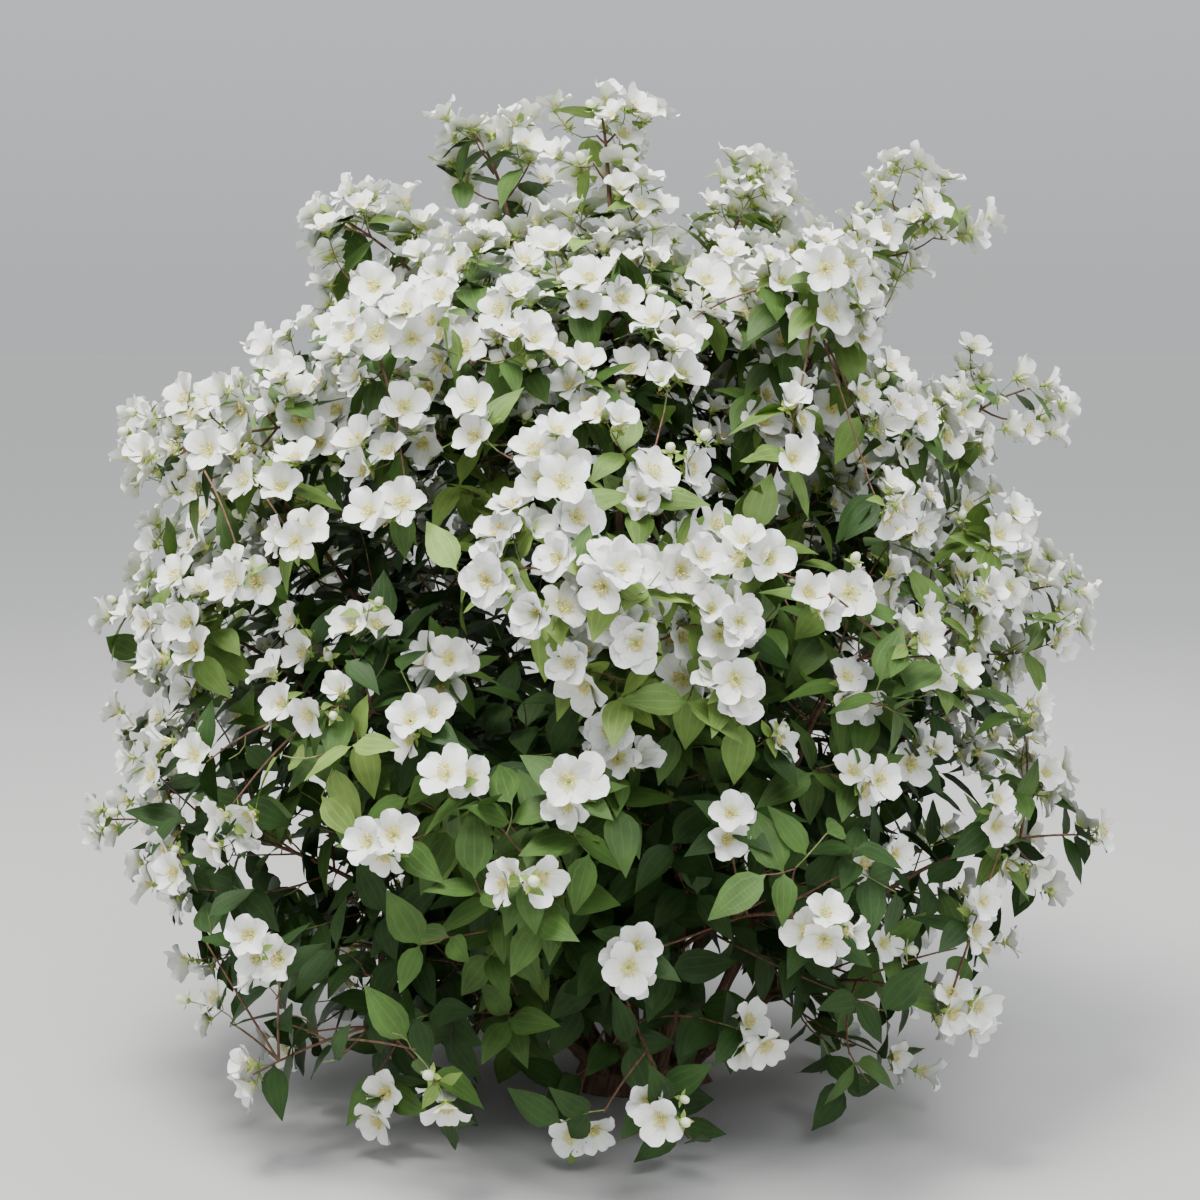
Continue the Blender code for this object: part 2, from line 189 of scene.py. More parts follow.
def fillerTips(taken):
    span = filler["high"] - filler["low"]
    grid = [
        domePoint(azimuth, filler["low"] + span * level / filler["levels"])
        for level in range(filler["levels"] + 1)
        for azimuth in range(0, 360, filler["turnStep"])
    ]
    tips = []
    for _ in range(filler["count"]):
        tips.append(max(grid, key=lambda p: min((p - t).length for t in taken + tips)))
    return sorted(tips, key=lambda p: p.z)


def fillerControls(tip, caneCurves, node):
    # Of the starts that the rule allows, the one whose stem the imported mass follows
    solid = node.data
    tree = BVHTree.FromPolygons([v.co for v in solid.vertices], [p.vertices for p in solid.polygons])
    choices = []
    for curve in caneCurves.values():
        for k in filler["starts"]:
            start = bezier(curve, cane["wood"] * k / 10)
            run = tip - start
            if filler["shortest"] < run.length < filler["longest"]:
                controls = [start, start.lerp(tip, 0.5) + up * (filler["arch"] * run.length), tip]
                miss = sum(tree.find_nearest(bezier(controls, t))[3] for t in filler["looks"])
                choices.append((miss, k, controls))
    return min(choices, key=lambda choice: choice[0])[2]


feet = caneFeet()
caneCurves = {name: caneControls(name, *feet[name]) for name in canes}
stems = {}  # mass: points and radii of its stem
wood = cane["wood"]
for name, curve in caneCurves.items():
    course = [bezier(curve, wood + (1 - wood) * k / stemSteps) for k in range(stemSteps + 1)]
    stems[name.replace("cane", "mass")] = (course, cane["table"][name][3] * cane["taper"])
for k, tip in enumerate(fillerTips([points[-1] for points, _ in stems.values()])):
    name = f"mass_side_{k + 1:02d}"
    controls = fillerControls(tip, caneCurves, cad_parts[name])
    course = [bezier(controls, t / stemSteps) for t in range(stemSteps + 1)]
    stems[name] = (course, filler["radius"])
print("limbs follow the packed model")


# What the shrub grows: all of it is listed first, then made in one go for each kind

# Darker greens low down and lighter ones up high: partly young growth, partly painted shade and painted
# light
tints = {  # weight of a shade of green at the ground, its gain with height, and from what height
    "Deep": (7, -7, 0.0),
    "Mid": (2, 2, 0.0),
    "Fresh": (0, 8, 0.3),
    "Pale": (0, 1.6, 0.3),
}

woodTwigs, greenTwigs = [], []
leaves = {tint: [] for tint in tints}
blooms, buds = [], []
mostBlooms = 6000
bloomPlaces = np.full((mostBlooms, 3), 99.0)  # far away until they are filled
branches, candidates = [], []


def turnTo(forward, face):
    # Rotation that takes +X to forward and turns +Z towards face
    side = face.cross(forward).normalized()
    return Matrix((forward, side, forward.cross(side))).transposed().to_quaternion()


def faceTo(face, spin):
    return face.to_track_quat("Z", "Y") @ Quaternion((0, 0, 1), spin)


def wander(rng, amount):
    return Vector((rng.uniform(-1, 1), rng.uniform(-1, 1), rng.uniform(-1, 1))) * amount


def roomAt(place):
    # Distance to the nearest bloom or bud
    gaps = bloomPlaces[: max(len(blooms) + len(buds), 1)] - np.array(place)
    return float(np.sqrt((gaps**2).sum(1)).min())


edge = {
    "overhang": 0.004,  # how far twigs and leaves may stand out past their mass's tip
    "bloomOverhang": 0.012,
    "heights": (0.35, 0.65, 0.90, 1.00),
    "shares": (0.97, 0.92, 0.84, 0.85),  # crown share at those heights that all but the tips keep inside
    "spire": 0.060,  # nearer its stem than this it may pass the edge
}


def edgeAt(height):
    return float(np.interp(height, edge["heights"], edge["shares"]))


def pastTip(place, mass):
    tip = stems[mass][0][-1]
    return (place - tip).dot(outward(tip))


def inReach(place, mass):
    if place.z < crown["lowest"] or pastTip(place, mass) > edge["overhang"]:
        return False
    if domeShare(place) < edgeAt(place.z):
        return True
    return min((place - p).length for p in stems[mass][0]) < edge["spire"]


def addTwig(kind, points, start, end):
    last = len(points) - 1
    kind.append((points, [start + (end - start) * k / last for k in range(last + 1)]))


def alongPath(points, share):
    scaled = min(max(share, 0.0), 1.0) * (len(points) - 1)
    k = min(int(scaled), len(points) - 2)
    return points[k].lerp(points[k + 1], scaled - k), (points[k + 1] - points[k]).normalized()


def sidesOf(along, turn):
    first = Quaternion(along, turn) @ along.orthogonal().normalized()
    return first, -first


sweep = {"along": 0.45, "out": 0.55, "up": 0.12, "wander": 0.28}  # how twigs bend out of the crown


def bentTwig(rng, node, lead, length, steps):
    # Leaves along lead and bends out of the crown
    finish = lead * sweep["along"] + outward(node) * sweep["out"] + up * sweep["up"]
    finish = (finish + wander(rng, sweep["wander"])).normalized()
    knee = node + lead * (length * 0.5)
    return [bezier([node, knee, knee + finish * (length * 0.5)], t / steps) for t in range(steps + 1)]


branch = {
    "spacing": 0.050,  # between opposite pairs on a stem
    "fewest": 3,
    "first": 0.06,  # where the lowest pair stands, as a share of the stem
    "span": 0.84,
    "lean": (0.3, 0.8),  # forwards
    "wander": 0.2,
    "turnWander": 0.2,
    "length": (0.11, 0.19),
    "shrink": (1.1, 0.6),  # length low on the stem, and what is lost from there to its tip
    "tries": (1, 0.72, 0.5),  # shares of the length, until the branch keeps in reach
    "steps": 6,
    "radius": 0.0015,
    "tipRadius": 0.0009,
    "stemTip": 0.0011,
    "sameTint": 0.6,  # share of the branches that take their mass's shade
    "tintRise": 0.1,
    "nodes": (0.30, 0.55, 0.80),  # where pairs of shoots stand; one more ends the branch
    "endBonus": 0.05,  # crown share that this last one gains when blooms are dealt out
}
shoot = {
    "lean": (0.3, 0.8),
    "wander": 0.15,
    "length": (0.028, 0.060),
    "steps": 3,
    "radius": 0.0009,
    "tipRadius": 0.0006,
    "green": 0.6,  # share of the shoots that are still green
}


def addCandidate(depth, rng, mass, tint, own, share, twig):
    order = len(candidates)
    candidates.append({"depth": depth, "order": order, "rng": rng, "mass": mass, "tint": tint,
                       "branch": own, "share": share, "twig": twig, "end": twig[-1]})


def growBranch(rng, mass, tint, node, lead, length):
    for part in branch["tries"]:
        points = bentTwig(rng, node, lead, length * part, branch["steps"])
        if inReach(points[-1], mass):
            dressBranch(rng, mass, tint, points)
            return


def dressBranch(rng, mass, tint, points):
    # The shoots that may stand on a branch, each to bear a flower head, leaves or nothing
    own = {"points": points, "used": 0.0}
    turn = rng.uniform(0, math.pi)
    starts = [(1.0, alongPath(points, 1.0)[1])]
    for share in branch["nodes"]:
        starts += [(share, side) for side in sidesOf(alongPath(points, share)[1], turn)]
        turn += math.pi / 2
    for share, side in starts:
        foot, along = alongPath(points, share)
        lean = (side + along * rng.uniform(*shoot["lean"]) + wander(rng, shoot["wander"])).normalized()
        twig = bentTwig(rng, foot, lean, rng.uniform(*shoot["length"]), shoot["steps"])
        if inReach(twig[-1], mass):
            depth = domeShare(twig[-1]) + (branch["endBonus"] if share == 1.0 else 0.0)
            addCandidate(depth, rng, mass, tint, own, share, twig)
    branches.append(own)


def pickTint(rng, height):
    # Deeper green low down, fresher towards the top: partly the young growth's own colour, partly painted
    # shade low in the crown and painted light at its top
    high = min(1.0, max(0.0, height))
    weights = [base + gain * max(0.0, high - start) for base, gain, start in tints.values()]
    return rng.choices(list(tints), weights)[0]


def growMass(mass, index):
    rng = random.Random(seed * 1000 + index)
    points, thick = stems[mass]
    length = sum((b - a).length for a, b in zip(points, points[1:]))
    addTwig(woodTwigs, points, thick, branch["stemTip"])
    tint = pickTint(rng, points[-1].z)
    pairs = max(branch["fewest"], round(length / branch["spacing"]))
    turn = rng.uniform(0, math.pi)
    addCandidate(9.0, rng, mass, tint, None, 1.0, points[-3:])  # its own tip comes before all shoots
    for k in range(pairs):
        share = branch["first"] + branch["span"] * k / (pairs - 1)
        node, along = alongPath(points, share)
        for side in sidesOf(along, turn):
            lead = side + along * rng.uniform(*branch["lean"])
            lead = (lead + wander(rng, branch["wander"])).normalized()
            long = rng.uniform(*branch["length"]) * (branch["shrink"][0] - branch["shrink"][1] * share)
            same = rng.random() < branch["sameTint"]
            shade = tint if same else pickTint(rng, node.z + branch["tintRise"])
            growBranch(rng, mass, shade, node, lead, long)
        turn += math.pi / 2 + rng.uniform(-branch["turnWander"], branch["turnWander"])


lowBranch = {  # branches on the canes themselves, which fill the crown's inside; their leaves pick a deeper green as painted shade
    "first": 0.25,
    "pairs": 7,
    "lean": (0.3, 0.9),
    "length": (0.07, 0.14),
    "turn": 1.9,
    "paintedShadeDrop": 0.25,
}


def growCaneBranches(name, index):
    rng = random.Random(seed * 2000 + index)
    mass = name.replace("cane", "mass")
    first = lowBranch["first"]
    shares = [first + (1 - first) * k / 20 for k in range(21)]
    points = [bezier(caneCurves[name], cane["wood"] * share) for share in shares]
    turn = rng.uniform(0, math.pi)
    for k in range(lowBranch["pairs"]):
        node, along = alongPath(points, (k + 0.5) / lowBranch["pairs"])
        for side in sidesOf(along, turn):
            lead = (side + along * rng.uniform(*lowBranch["lean"])).normalized()
            # Picked as if lower down, for a deeper green as painted shade inside the crown
            tint = pickTint(rng, node.z - lowBranch["paintedShadeDrop"])
            growBranch(rng, mass, tint, node, lead, rng.uniform(*lowBranch["length"]))
        turn += lowBranch["turn"]


gap = {
    "inside": 0.03,  # how far inside the edge the branches end, as a crown share
    "rings": (  # share of the way out, depth that counts, room that calls for a branch, most branches
        (1.00, 0.78, 0.075, 150),
        (0.62, 0.30, 0.095, 90),
    ),
    "low": 0.05,
    "high": 1.02,
    "levels": 19,
    "turnStep": 6,
    "lengths": (0.06, 0.34),
    "fromAbove": 0.25,  # what a start above the branch's end costs
    "choices": 12,
    "wander": 0.1,
}


def roomBetween(places, ends):
    # For each place, the distance to the nearest of the ends
    return np.array([np.sqrt(((ends - np.array(p)) ** 2).sum(1)).min() for p in places])


def carrierFor(tip, carriers):
    # The start of a new branch, on a stem near by and rather below than above
    short, long = gap["lengths"]
    near = [(start, mass) for start, mass in carriers if short < (tip - start).length < long]
    near.sort(key=lambda n: (tip - n[0]).length + gap["fromAbove"] * max(0.0, n[0].z - tip.z))
    return next(((start, mass) for start, mass in near[: gap["choices"]] if inReach(tip, mass)), None)


def fillGaps():
    # The source's own rule at a finer scale: a branch goes to the place on the crown's edge,
    # and then on a ring inside it, that is furthest from any shoot, as long as such gaps are left
    rng = random.Random(seed * 3000)
    heights = [gap["low"] + (gap["high"] - gap["low"]) * k / gap["levels"] for k in range(gap["levels"] + 1)]
    rim = [domePoint(azimuth, height) for height in heights for azimuth in range(0, 360, gap["turnStep"])]
    carriers = [(p, mass) for mass in masses for p in stems[mass][0][1:-1]]
    for level, depth, width, most in gap["rings"]:
        targets = [crown["centre"].lerp(p, level * (edgeAt(p.z) - gap["inside"])) for p in rim]
        room = roomBetween(targets, np.array([spot["end"] for spot in candidates if spot["depth"] > depth]))
        for _ in range(most):
            k = int(room.argmax())
            if room[k] < width:
                break
            tip, room[k] = targets[k], 0.0
            carrier = carrierFor(tip, carriers)
            if carrier:
                start, mass = carrier
                run = tip - start
                middle = start.lerp(tip, 0.5) + up * (filler["arch"] * run.length)
                middle += wander(rng, gap["wander"] * run.length)
                first = len(candidates)
                tint = pickTint(rng, tip.z)
                steps = branch["steps"]
                course = [bezier([start, middle, tip], t / steps) for t in range(steps + 1)]
                dressBranch(rng, mass, tint, course)
                for spot in candidates[first:]:
                    away = np.sqrt(((np.array(targets) - np.array(spot["end"])) ** 2).sum(1))
                    room = np.minimum(room, away)


def chooseSpread(pool, spacing, taken):
    # The outermost first, and none too near one that is already taken
    kept = []
    for spot in pool:
        least = spacing(spot["end"])
        if all((spot["end"] - other).length > least for other in taken):
            taken.append(spot["end"])
            kept.append(spot)
    return kept


leaf = {
    "length": (0.048, 0.072),
    "lean": (0.55, 0.22, 0.35),  # along its twig, down, and at random
    "face": (0.7, 0.7, 0.2, 0.45),  # outwards, up, along its twig, and at random
    "room": 0.015,  # between its blade and a bloom
    "looks": (0.35, 0.7, 1.0),
    "tries": 4,
    "shapes": 6,
    "onHeads": ((0.2, 0.6), 0.92),  # where the pairs stand on a shoot, and their size
    "onLeafy": ((0.35, 1.0), 1.0),
}


def addLeaf(rng, tint, node, along, side, scale, mass):
    # Leans along its twig, hangs a little, and keeps out of the blooms
    forwards, down, stray = leaf["lean"]
    facesOut, facesUp, facesAlong, faceStray = leaf["face"]
    for _ in range(leaf["tries"]):
        lead = (side + along * forwards - up * down + wander(rng, stray)).normalized()
        length = rng.uniform(*leaf["length"]) * scale
        if not inReach(node + lead * length, mass):
            continue
        if min(roomAt(node + lead * (length * t)) for t in leaf["looks"]) < leaf["room"]:
            continue
        face = outward(node) * facesOut + up * facesUp + along * facesAlong + wander(rng, faceStray)
        leaves[tint].append((node, turnTo(lead, face), length, rng.randrange(leaf["shapes"])))
        return


def addLeafPairs(spot, shares, scale):
    rng = spot["rng"]
    turn = rng.uniform(0, math.pi)
    for share in shares:
        node, along = alongPath(spot["twig"], share)
        for side in sidesOf(along, turn):
            addLeaf(rng, spot["tint"], node, along, side, scale, spot["mass"])
        turn += math.pi / 2


bloom = {
    "width": 0.0555,
    "room": 0.0242,
    "spread": (0.84, 1.10),
    "pedicel": (0.011, 0.020),
    "pedicelRadii": (0.00055, 0.0007),
    "bend": (0.35, 0.25),  # of the stalk outwards, and at random
    "face": (0.8, 0.75, 0.50),  # along the stalk, outwards, and at random
    "centre": 0.006,  # above the end of the stalk
    "sunk": 0.003,
}
bud = {"share": 0.12, "sizes": (0.8, 1.25), "shapes": 2, "radius": 0.0048}
corollas = [(rise, 4, 1) for rise in (0.45, 0.60, 0.75, 0.90, 1.05, 1.25, 1.60, 2.10)]
corollas += [(rise, 5, 1) for rise in (0.55, 0.75, 0.95, 1.20)]
corollas += [(0.62, 4, 2), (0.84, 4, 2)]  # rise of the petals, petals in a whorl, whorls
singles = [k for k, kind in enumerate(corollas) if kind[2] == 1]
doubles = [k for k, kind in enumerate(corollas) if kind[2] == 2]


def addBloom(rng, node, lead, mass, full):
    # A stalk, and on it a bloom or a bud that faces out of the crown
    length = rng.uniform(*bloom["pedicel"])
    bend = (lead + facing(node) * bloom["bend"][0] + wander(rng, bloom["bend"][1])).normalized()
    place = node + lead * (length * 0.5) + bend * (length * 0.5)
    onward, out, stray = bloom["face"]
    face = (bend * onward + facing(place) * out + wander(rng, stray)).normalized()
    centre = place + face * bloom["centre"]
    if centre.z < crown["lowestBloom"] or roomAt(centre) < bloom["room"]:
        return
    if pastTip(centre, mass) > edge["bloomOverhang"]:
        return
    spin = rng.uniform(0, math.tau)
    bloomPlaces[len(blooms) + len(buds)] = centre
    base = place - face * bloom["sunk"]
    addTwig(greenTwigs, [node, node.lerp(base, 0.5) + bend * 0.001, base], *bloom["pedicelRadii"])
    if rng.random() < bud["share"]:
        buds.append((place, faceTo(face, spin), rng.uniform(*bud["sizes"]), rng.randrange(bud["shapes"])))
        return
    kind = rng.choice(doubles if rng.random() < full else singles)
    size = rng.uniform(*bloom["spread"]) * (1 + front["larger"] * frontMiddle(place))
    blooms.append((place, faceTo(face, spin), size, kind))


head = {
    "pairs": (2, 2, 3, 3),
    "first": 0.008,  # from the shoot's tip down to the first pair
    "step": 0.014,
    "lean": (0.75, 0.1),  # forwards, and how much less with each pair down
    "wander": 0.2,
    "bractLean": 0.4,
    "bractWander": 0.4,
    "bract": (0.013, 0.028),
    "full": (0.04, 0.6),  # share of double blooms, and what the middle of the front adds
}


def addHead(spot):
    # A bloom on the end of the shoot, and pairs of them down its last stretch
    rng, mass = spot["rng"], spot["mass"]
    pairs = rng.choice(head["pairs"])
    full = head["full"][0] + head["full"][1] * frontMiddle(spot["end"])
    tip, along = alongPath(spot["twig"], 1.0)
    addBloom(rng, tip, along, mass, full)
    turn = rng.uniform(0, math.pi)
    for k in range(pairs):
        node = tip - along * (head["first"] + head["step"] * k)
        forwards = head["lean"][0] - head["lean"][1] * k
        for side in sidesOf(along, turn):
            lead = (side + along * forwards + wander(rng, head["wander"])).normalized()
            addBloom(rng, node, lead, mass, full)
            if k == 0:
                bract = (side + along * head["bractLean"] + wander(rng, head["bractWander"])).normalized()
                size = rng.uniform(*head["bract"])
                shape = rng.randrange(leaf["shapes"])
                leaves["Pale"].append((node, turnTo(bract, outward(node)), size, shape))
        turn += math.pi / 2


front = {"middle": Vector((-0.05, -0.45, 0.57)), "radius": 0.23, "larger": 0.20}


def frontMiddle(place):
    # 1 in the middle of the front, where the blooms are largest and fullest, and 0 away from it
    return max(0.0, 1 - (place - front["middle"]).length / front["radius"])


spread = {
    "heads": 0.0425,  # least distance between flower heads high in the crown
    "lowHeads": 0.055,  # added to it near the ground
    "lowFrontHeads": 0.115,  # and this on the side towards the camera
    "front": 0.009,  # added to it in the middle of the front, where the heads are large
    "lowBelow": 0.68,  # height from which down they stand wider
    "frontKeeps": 1.3,  # how soon the middle of the front is free of that
    "towards": (0.35, 0.65),  # where the side towards the camera begins, and its width
    "leafy": 0.047,  # least distance between leafy shoots
    "lowLeafy": 0.050,  # added to it on the outside near the ground
    "lowLeafyBelow": 0.50,
    "outside": (0.62, 0.20),  # crown share where the outside begins, and its width
    "opening": Vector((0.04, -0.42, 0.22)),  # low in front, where the stems show between the leaves
    "openingWidth": 0.17,
    "openingMore": 0.13,
    "flowerHeights": (0.35, 0.80),
    "flowerDepths": (0.84, 0.58),  # least crown share of a flower head at those heights
    "frontDeeper": 0.10,
    "leafDepth": 0.22,
}


def headSpacing(end):
    low = max(0.0, 1 - end.z / spread["lowBelow"])
    low *= 1 - min(1.0, spread["frontKeeps"] * frontMiddle(end))
    begin, width = spread["towards"]
    towards = max(0.0, -begin - outward(end).y) / width
    more = spread["lowHeads"] + spread["lowFrontHeads"] * towards
    return spread["heads"] + more * low + spread["front"] * frontMiddle(end)


def mayFlower(spot):
    least = np.interp(spot["end"].z, spread["flowerHeights"], spread["flowerDepths"])
    return spot["depth"] > least - spread["frontDeeper"] * frontMiddle(spot["end"])


def leafySpacing(end):
    begin, width = spread["outside"]
    outer = min(1.0, max(0.0, (domeShare(end) - begin) / width))
    bare = max(0.0, 1 - (end - spread["opening"]).length / spread["openingWidth"])
    more = spread["lowLeafy"] * max(0.0, 1 - end.z / spread["lowLeafyBelow"]) * outer
    return spread["leafy"] + more + spread["openingMore"] * bare


def useShoot(spot):
    # Draws the shoot, and counts its branch as needed up to there
    own = spot["branch"]
    if own:
        own["used"] = max(own["used"], spot["share"])
        kind = greenTwigs if spot["rng"].random() < shoot["green"] else woodTwigs
        addTwig(kind, spot["twig"], shoot["radius"], shoot["tipRadius"])


for index, mass in enumerate(masses):
    growMass(mass, index)
for index, name in enumerate(canes):
    growCaneBranches(name, index)
fillGaps()
candidates.sort(key=lambda spot: (-spot["depth"], spot["order"]))
ends = []
heads = chooseSpread([spot for spot in candidates if mayFlower(spot)], headSpacing, ends)
chosen = {spot["order"] for spot in heads}
rest = [spot for spot in candidates if spot["order"] not in chosen and spot["depth"] > spread["leafDepth"]]
leafy = chooseSpread(rest, leafySpacing, ends)
for spot in heads:
    useShoot(spot)
    addHead(spot)
for spot in heads:
    addLeafPairs(spot, *leaf["onHeads"])
for spot in leafy:
    useShoot(spot)
    addLeafPairs(spot, *leaf["onLeafy"])
for own in branches:
    if own["used"] > 0:
        count = max(2, math.ceil(own["used"] * branch["steps"]) + 1)
        addTwig(woodTwigs, own["points"][:count], branch["radius"], branch["tipRadius"])
print("grown:", len(heads), "heads,", len(leafy), "leafy shoots,", len(blooms), "blooms,",
      len(buds), "buds,", sum(map(len, leaves.values())), "leaves")


# Shapes that the nodes repeat

def link(item):
    bpy.context.scene.collection.objects.link(item)
    return item


def meshFrom(name, shape):
    mesh = bpy.data.meshes.new(name)
    shape.to_mesh(mesh)
    shape.free()
    return mesh


def shapeObject(name, points, faces, uv=None):
    mesh = bpy.data.meshes.new(name)
    mesh.from_pydata(points, [], faces)
    if uv:
        layer = mesh.uv_layers.new(name="UVMap")
        for loop in mesh.loops:
            layer.data[loop.index].uv = uv[loop.vertex_index]
    mesh.shade_smooth()
    return bpy.data.objects.new(name, mesh)


def shapeSet(name, objects):
    kept = bpy.data.collections.new(name)
    for obj in objects:
        kept.objects.link(obj)
    return kept


def gridFaces(rows, columns, start=0):
    # Quads of a grid whose points run along its rows
    faces = []
    for r in range(rows - 1):
        for c in range(columns - 1):
            a = start + r * columns + c
            faces.append((a, a + 1, a + 1 + columns, a + columns))
    return faces


leafForm = {
    "rows": (0.0, 0.07, 0.16, 0.30, 0.46, 0.62, 0.77, 0.90, 1.0),
    "stalk": 0.06,  # shares of the length
    "blade": 0.94,
    "half": 0.27,
    "stalkHalf": 0.010,
    "tipHalf": 0.0015,
    "arch": (0.08, 0.06),  # of the first shape, and what each next one adds
    "fold": (0.10, 0.26),
    "sway": 0.05,
    "ripple": (0.004, 0.012),
}


def leafShape(index):
    # A pointed oval with a drawn-out tip, folded at its midrib, arched, on a short stalk
    rng = random.Random(seed + index)
    arch = leafForm["arch"][0] + leafForm["arch"][1] * index
    fold = rng.uniform(*leafForm["fold"])
    sway = rng.uniform(-leafForm["sway"], leafForm["sway"])
    ripple = rng.uniform(*leafForm["ripple"])
    points, uv = [], []
    for s in leafForm["rows"]:
        blade = max(0.0, (s - leafForm["stalk"]) / leafForm["blade"])
        half = leafForm["half"] * math.sin(math.pi * blade**0.72) ** 0.85 * (1 - 0.40 * blade**3)
        if s <= leafForm["stalk"]:
            half = 0.0
        half = max(half, leafForm["stalkHalf"] * (1 - s) + leafForm["tipHalf"])
        for c in (-1, 0, 1):
            lift = fold * abs(c) * half - arch * s * s + ripple * math.sin(17 * s + 2 * c) * abs(c)
            points.append((s, c * half + sway * s * s, lift))
            uv.append((0.5 + 0.5 * c, s))
    return shapeObject(f"leafShape{index}", points, gridFaces(len(leafForm["rows"]), 3), uv)


petal = {
    "rows": (0.05, 0.34, 0.64, 0.87, 1.0),
    "columns": (-1, -0.5, 0, 0.5, 1),
    "half": {4: 0.0126, 5: 0.0110},  # half its width, by the number of petals
    "blunt": 0.14,  # how much shorter its sides are
    "notch": 0.025,  # and the middle of its end
    "hollow": 0.0040,
    "wave": 0.0012,
    "tilt": 0.0018,
    "tilts": (0.2, 1.8),
    "turn": 0.12,
    "lengths": (0.92, 1.06),
    "widths": (0.90, 1.06),
    "rises": (0.75, 1.25),
    "inner": (0.22, 0.12, 0.34),  # a second whorl is shorter, narrower and more upright by this
}


def petalPoints(turn, long, half, cup, rng, tilt):
    # One broad petal with a round end and a wavy edge, one side lifted over its neighbour
    phase = rng.uniform(0, math.tau)
    wrap = min(1.0, max(0.0, (cup - 0.5) / 1.2))  # a deep cup's petals curve round its axis
    run = long / math.hypot(1, 0.58 * cup)
    points, uv = [], []
    for s in petal["rows"]:
        for c in petal["columns"]:
            notch = petal["notch"] * math.exp(-((c / 0.3) ** 2)) * s
            blunt = 1 - petal["blunt"] * c * c * s**4 - notch
            width = half * math.sin(math.pi * (0.06 + 0.78 * s**1.05)) ** 0.75
            rise = run * (cup * s - 0.42 * cup * s**3) + petal["hollow"] * c * c * s
            rise += petal["wave"] * s * math.sin(3.5 * c + phase) + tilt * c * s * petal["tilt"]
            x, y = run * s * blunt, width * c
            bend = y / max(x, 0.006)
            x, y = x * (1 - wrap * (1 - math.cos(bend))), y * (1 - wrap) + wrap * x * math.sin(bend)
            turnedX = x * math.cos(turn) - y * math.sin(turn)
            turnedY = x * math.sin(turn) + y * math.cos(turn)
            points.append((turnedX, turnedY, rise))
            uv.append((0.5 + 0.5 * c, s))
    return points, uv


def corollaShape(index, cup, petals, whorls):
    rng = random.Random(seed * 3 + index)
    shorter, narrower, steeper = petal["inner"]
    points, uv, faces = [], [], []
    for whorl in range(whorls):
        for k in range(petals):
            turn = math.tau / petals * (k + 0.5 * whorl) + rng.uniform(-petal["turn"], petal["turn"])
            long = bloom["width"] / 2 * (1 - shorter * whorl) * rng.uniform(*petal["lengths"])
            wide = petal["half"][petals] * (1 - narrower * whorl) * rng.uniform(*petal["widths"])
            rise = (cup + steeper * whorl) * rng.uniform(*petal["rises"])
            made, at = petalPoints(turn, long, wide, rise, rng, rng.uniform(*petal["tilts"]))
            faces += gridFaces(len(petal["rows"]), len(petal["columns"]), len(points))
            points += made
            uv += at
    return shapeObject(f"corollaShape{index:02d}", points, faces, uv)


def spike(points, faces, base, tip, thick):
    # A three-sided thread from base to tip
    axis = (tip - base).normalized()
    side = axis.orthogonal().normalized() * thick
    first = len(points)
    points += [base + Quaternion(axis, math.tau * k / 3) @ side for k in range(3)] + [tip + axis * thick]
    faces += [(first + k, first + (k + 1) % 3, first + 3) for k in range(3)]


def anther(points, faces, centre, axis, length, thick):
    # A long closed wedge of four faces
    side = axis.orthogonal().normalized() * thick
    first = len(points)
    points += [centre + Quaternion(axis, math.tau * k / 3) @ side - axis * length / 2 for k in range(3)]
    points += [centre + axis * length / 2]
    faces += [(first + k, first + (k + 1) % 3, first + 3) for k in range(3)]
    faces.append((first + 2, first + 1, first))


tuft = {
    "threads": 15,
    "turn": 0.618,  # from one to the next, in turns
    "lean": (0.25, 1.00),
    "steep": 0.5,  # each third one leans by this share
    "length": (0.0072, 0.0104),
    "foot": (0.0018, 0.0006),  # out from the middle, and up
    "radius": 0.00048,
    "anther": (0.0032, 0.0013),  # length and radius
    "style": (0.0085, 0.0007),
    "shapes": 2,
}


def stamenShapes(index):
    # A tuft of threads round the style, and the anther on each
    rng = random.Random(seed * 5 + index)
    threads, threadFaces, tips, tipFaces = [], [], [], []
    for k in range(tuft["threads"]):
        angle = math.tau * (k * tuft["turn"])
        lean = rng.uniform(*tuft["lean"]) * (tuft["steep"] if k % 3 == 0 else 1)
        out = Vector((math.cos(angle), math.sin(angle), 0))
        base = out * tuft["foot"][0] + up * tuft["foot"][1]
        end = base + (out * math.sin(lean) + up * math.cos(lean)) * rng.uniform(*tuft["length"])
        spike(threads, threadFaces, base, end, tuft["radius"])
        anther(tips, tipFaces, end, (out + up * 0.6 + wander(rng, 0.3)).normalized(), *tuft["anther"])
    spike(threads, threadFaces, up * 0.0, up * tuft["style"][0], tuft["style"][1])
    return (
        shapeObject(f"threadShape{index}", threads, threadFaces),
        shapeObject(f"antherShape{index}", tips, tipFaces),
    )


calyx = {
    "sides": 5,
    "rings": ((0.0007, -0.0045), (0.0027, -0.0028), (0.0032, 0.0002), (0.0004, 0.0012)),  # radius, height
    "sepal": ((0.0022, -0.0022, -0.0010), (0.0060, -0.0026, -0.0006), (0.0112, 0, 0.0002),
              (0.0060, 0.0026, -0.0006), (0.0022, 0.0022, -0.0010), (0.0060, 0, -0.0014)),
}


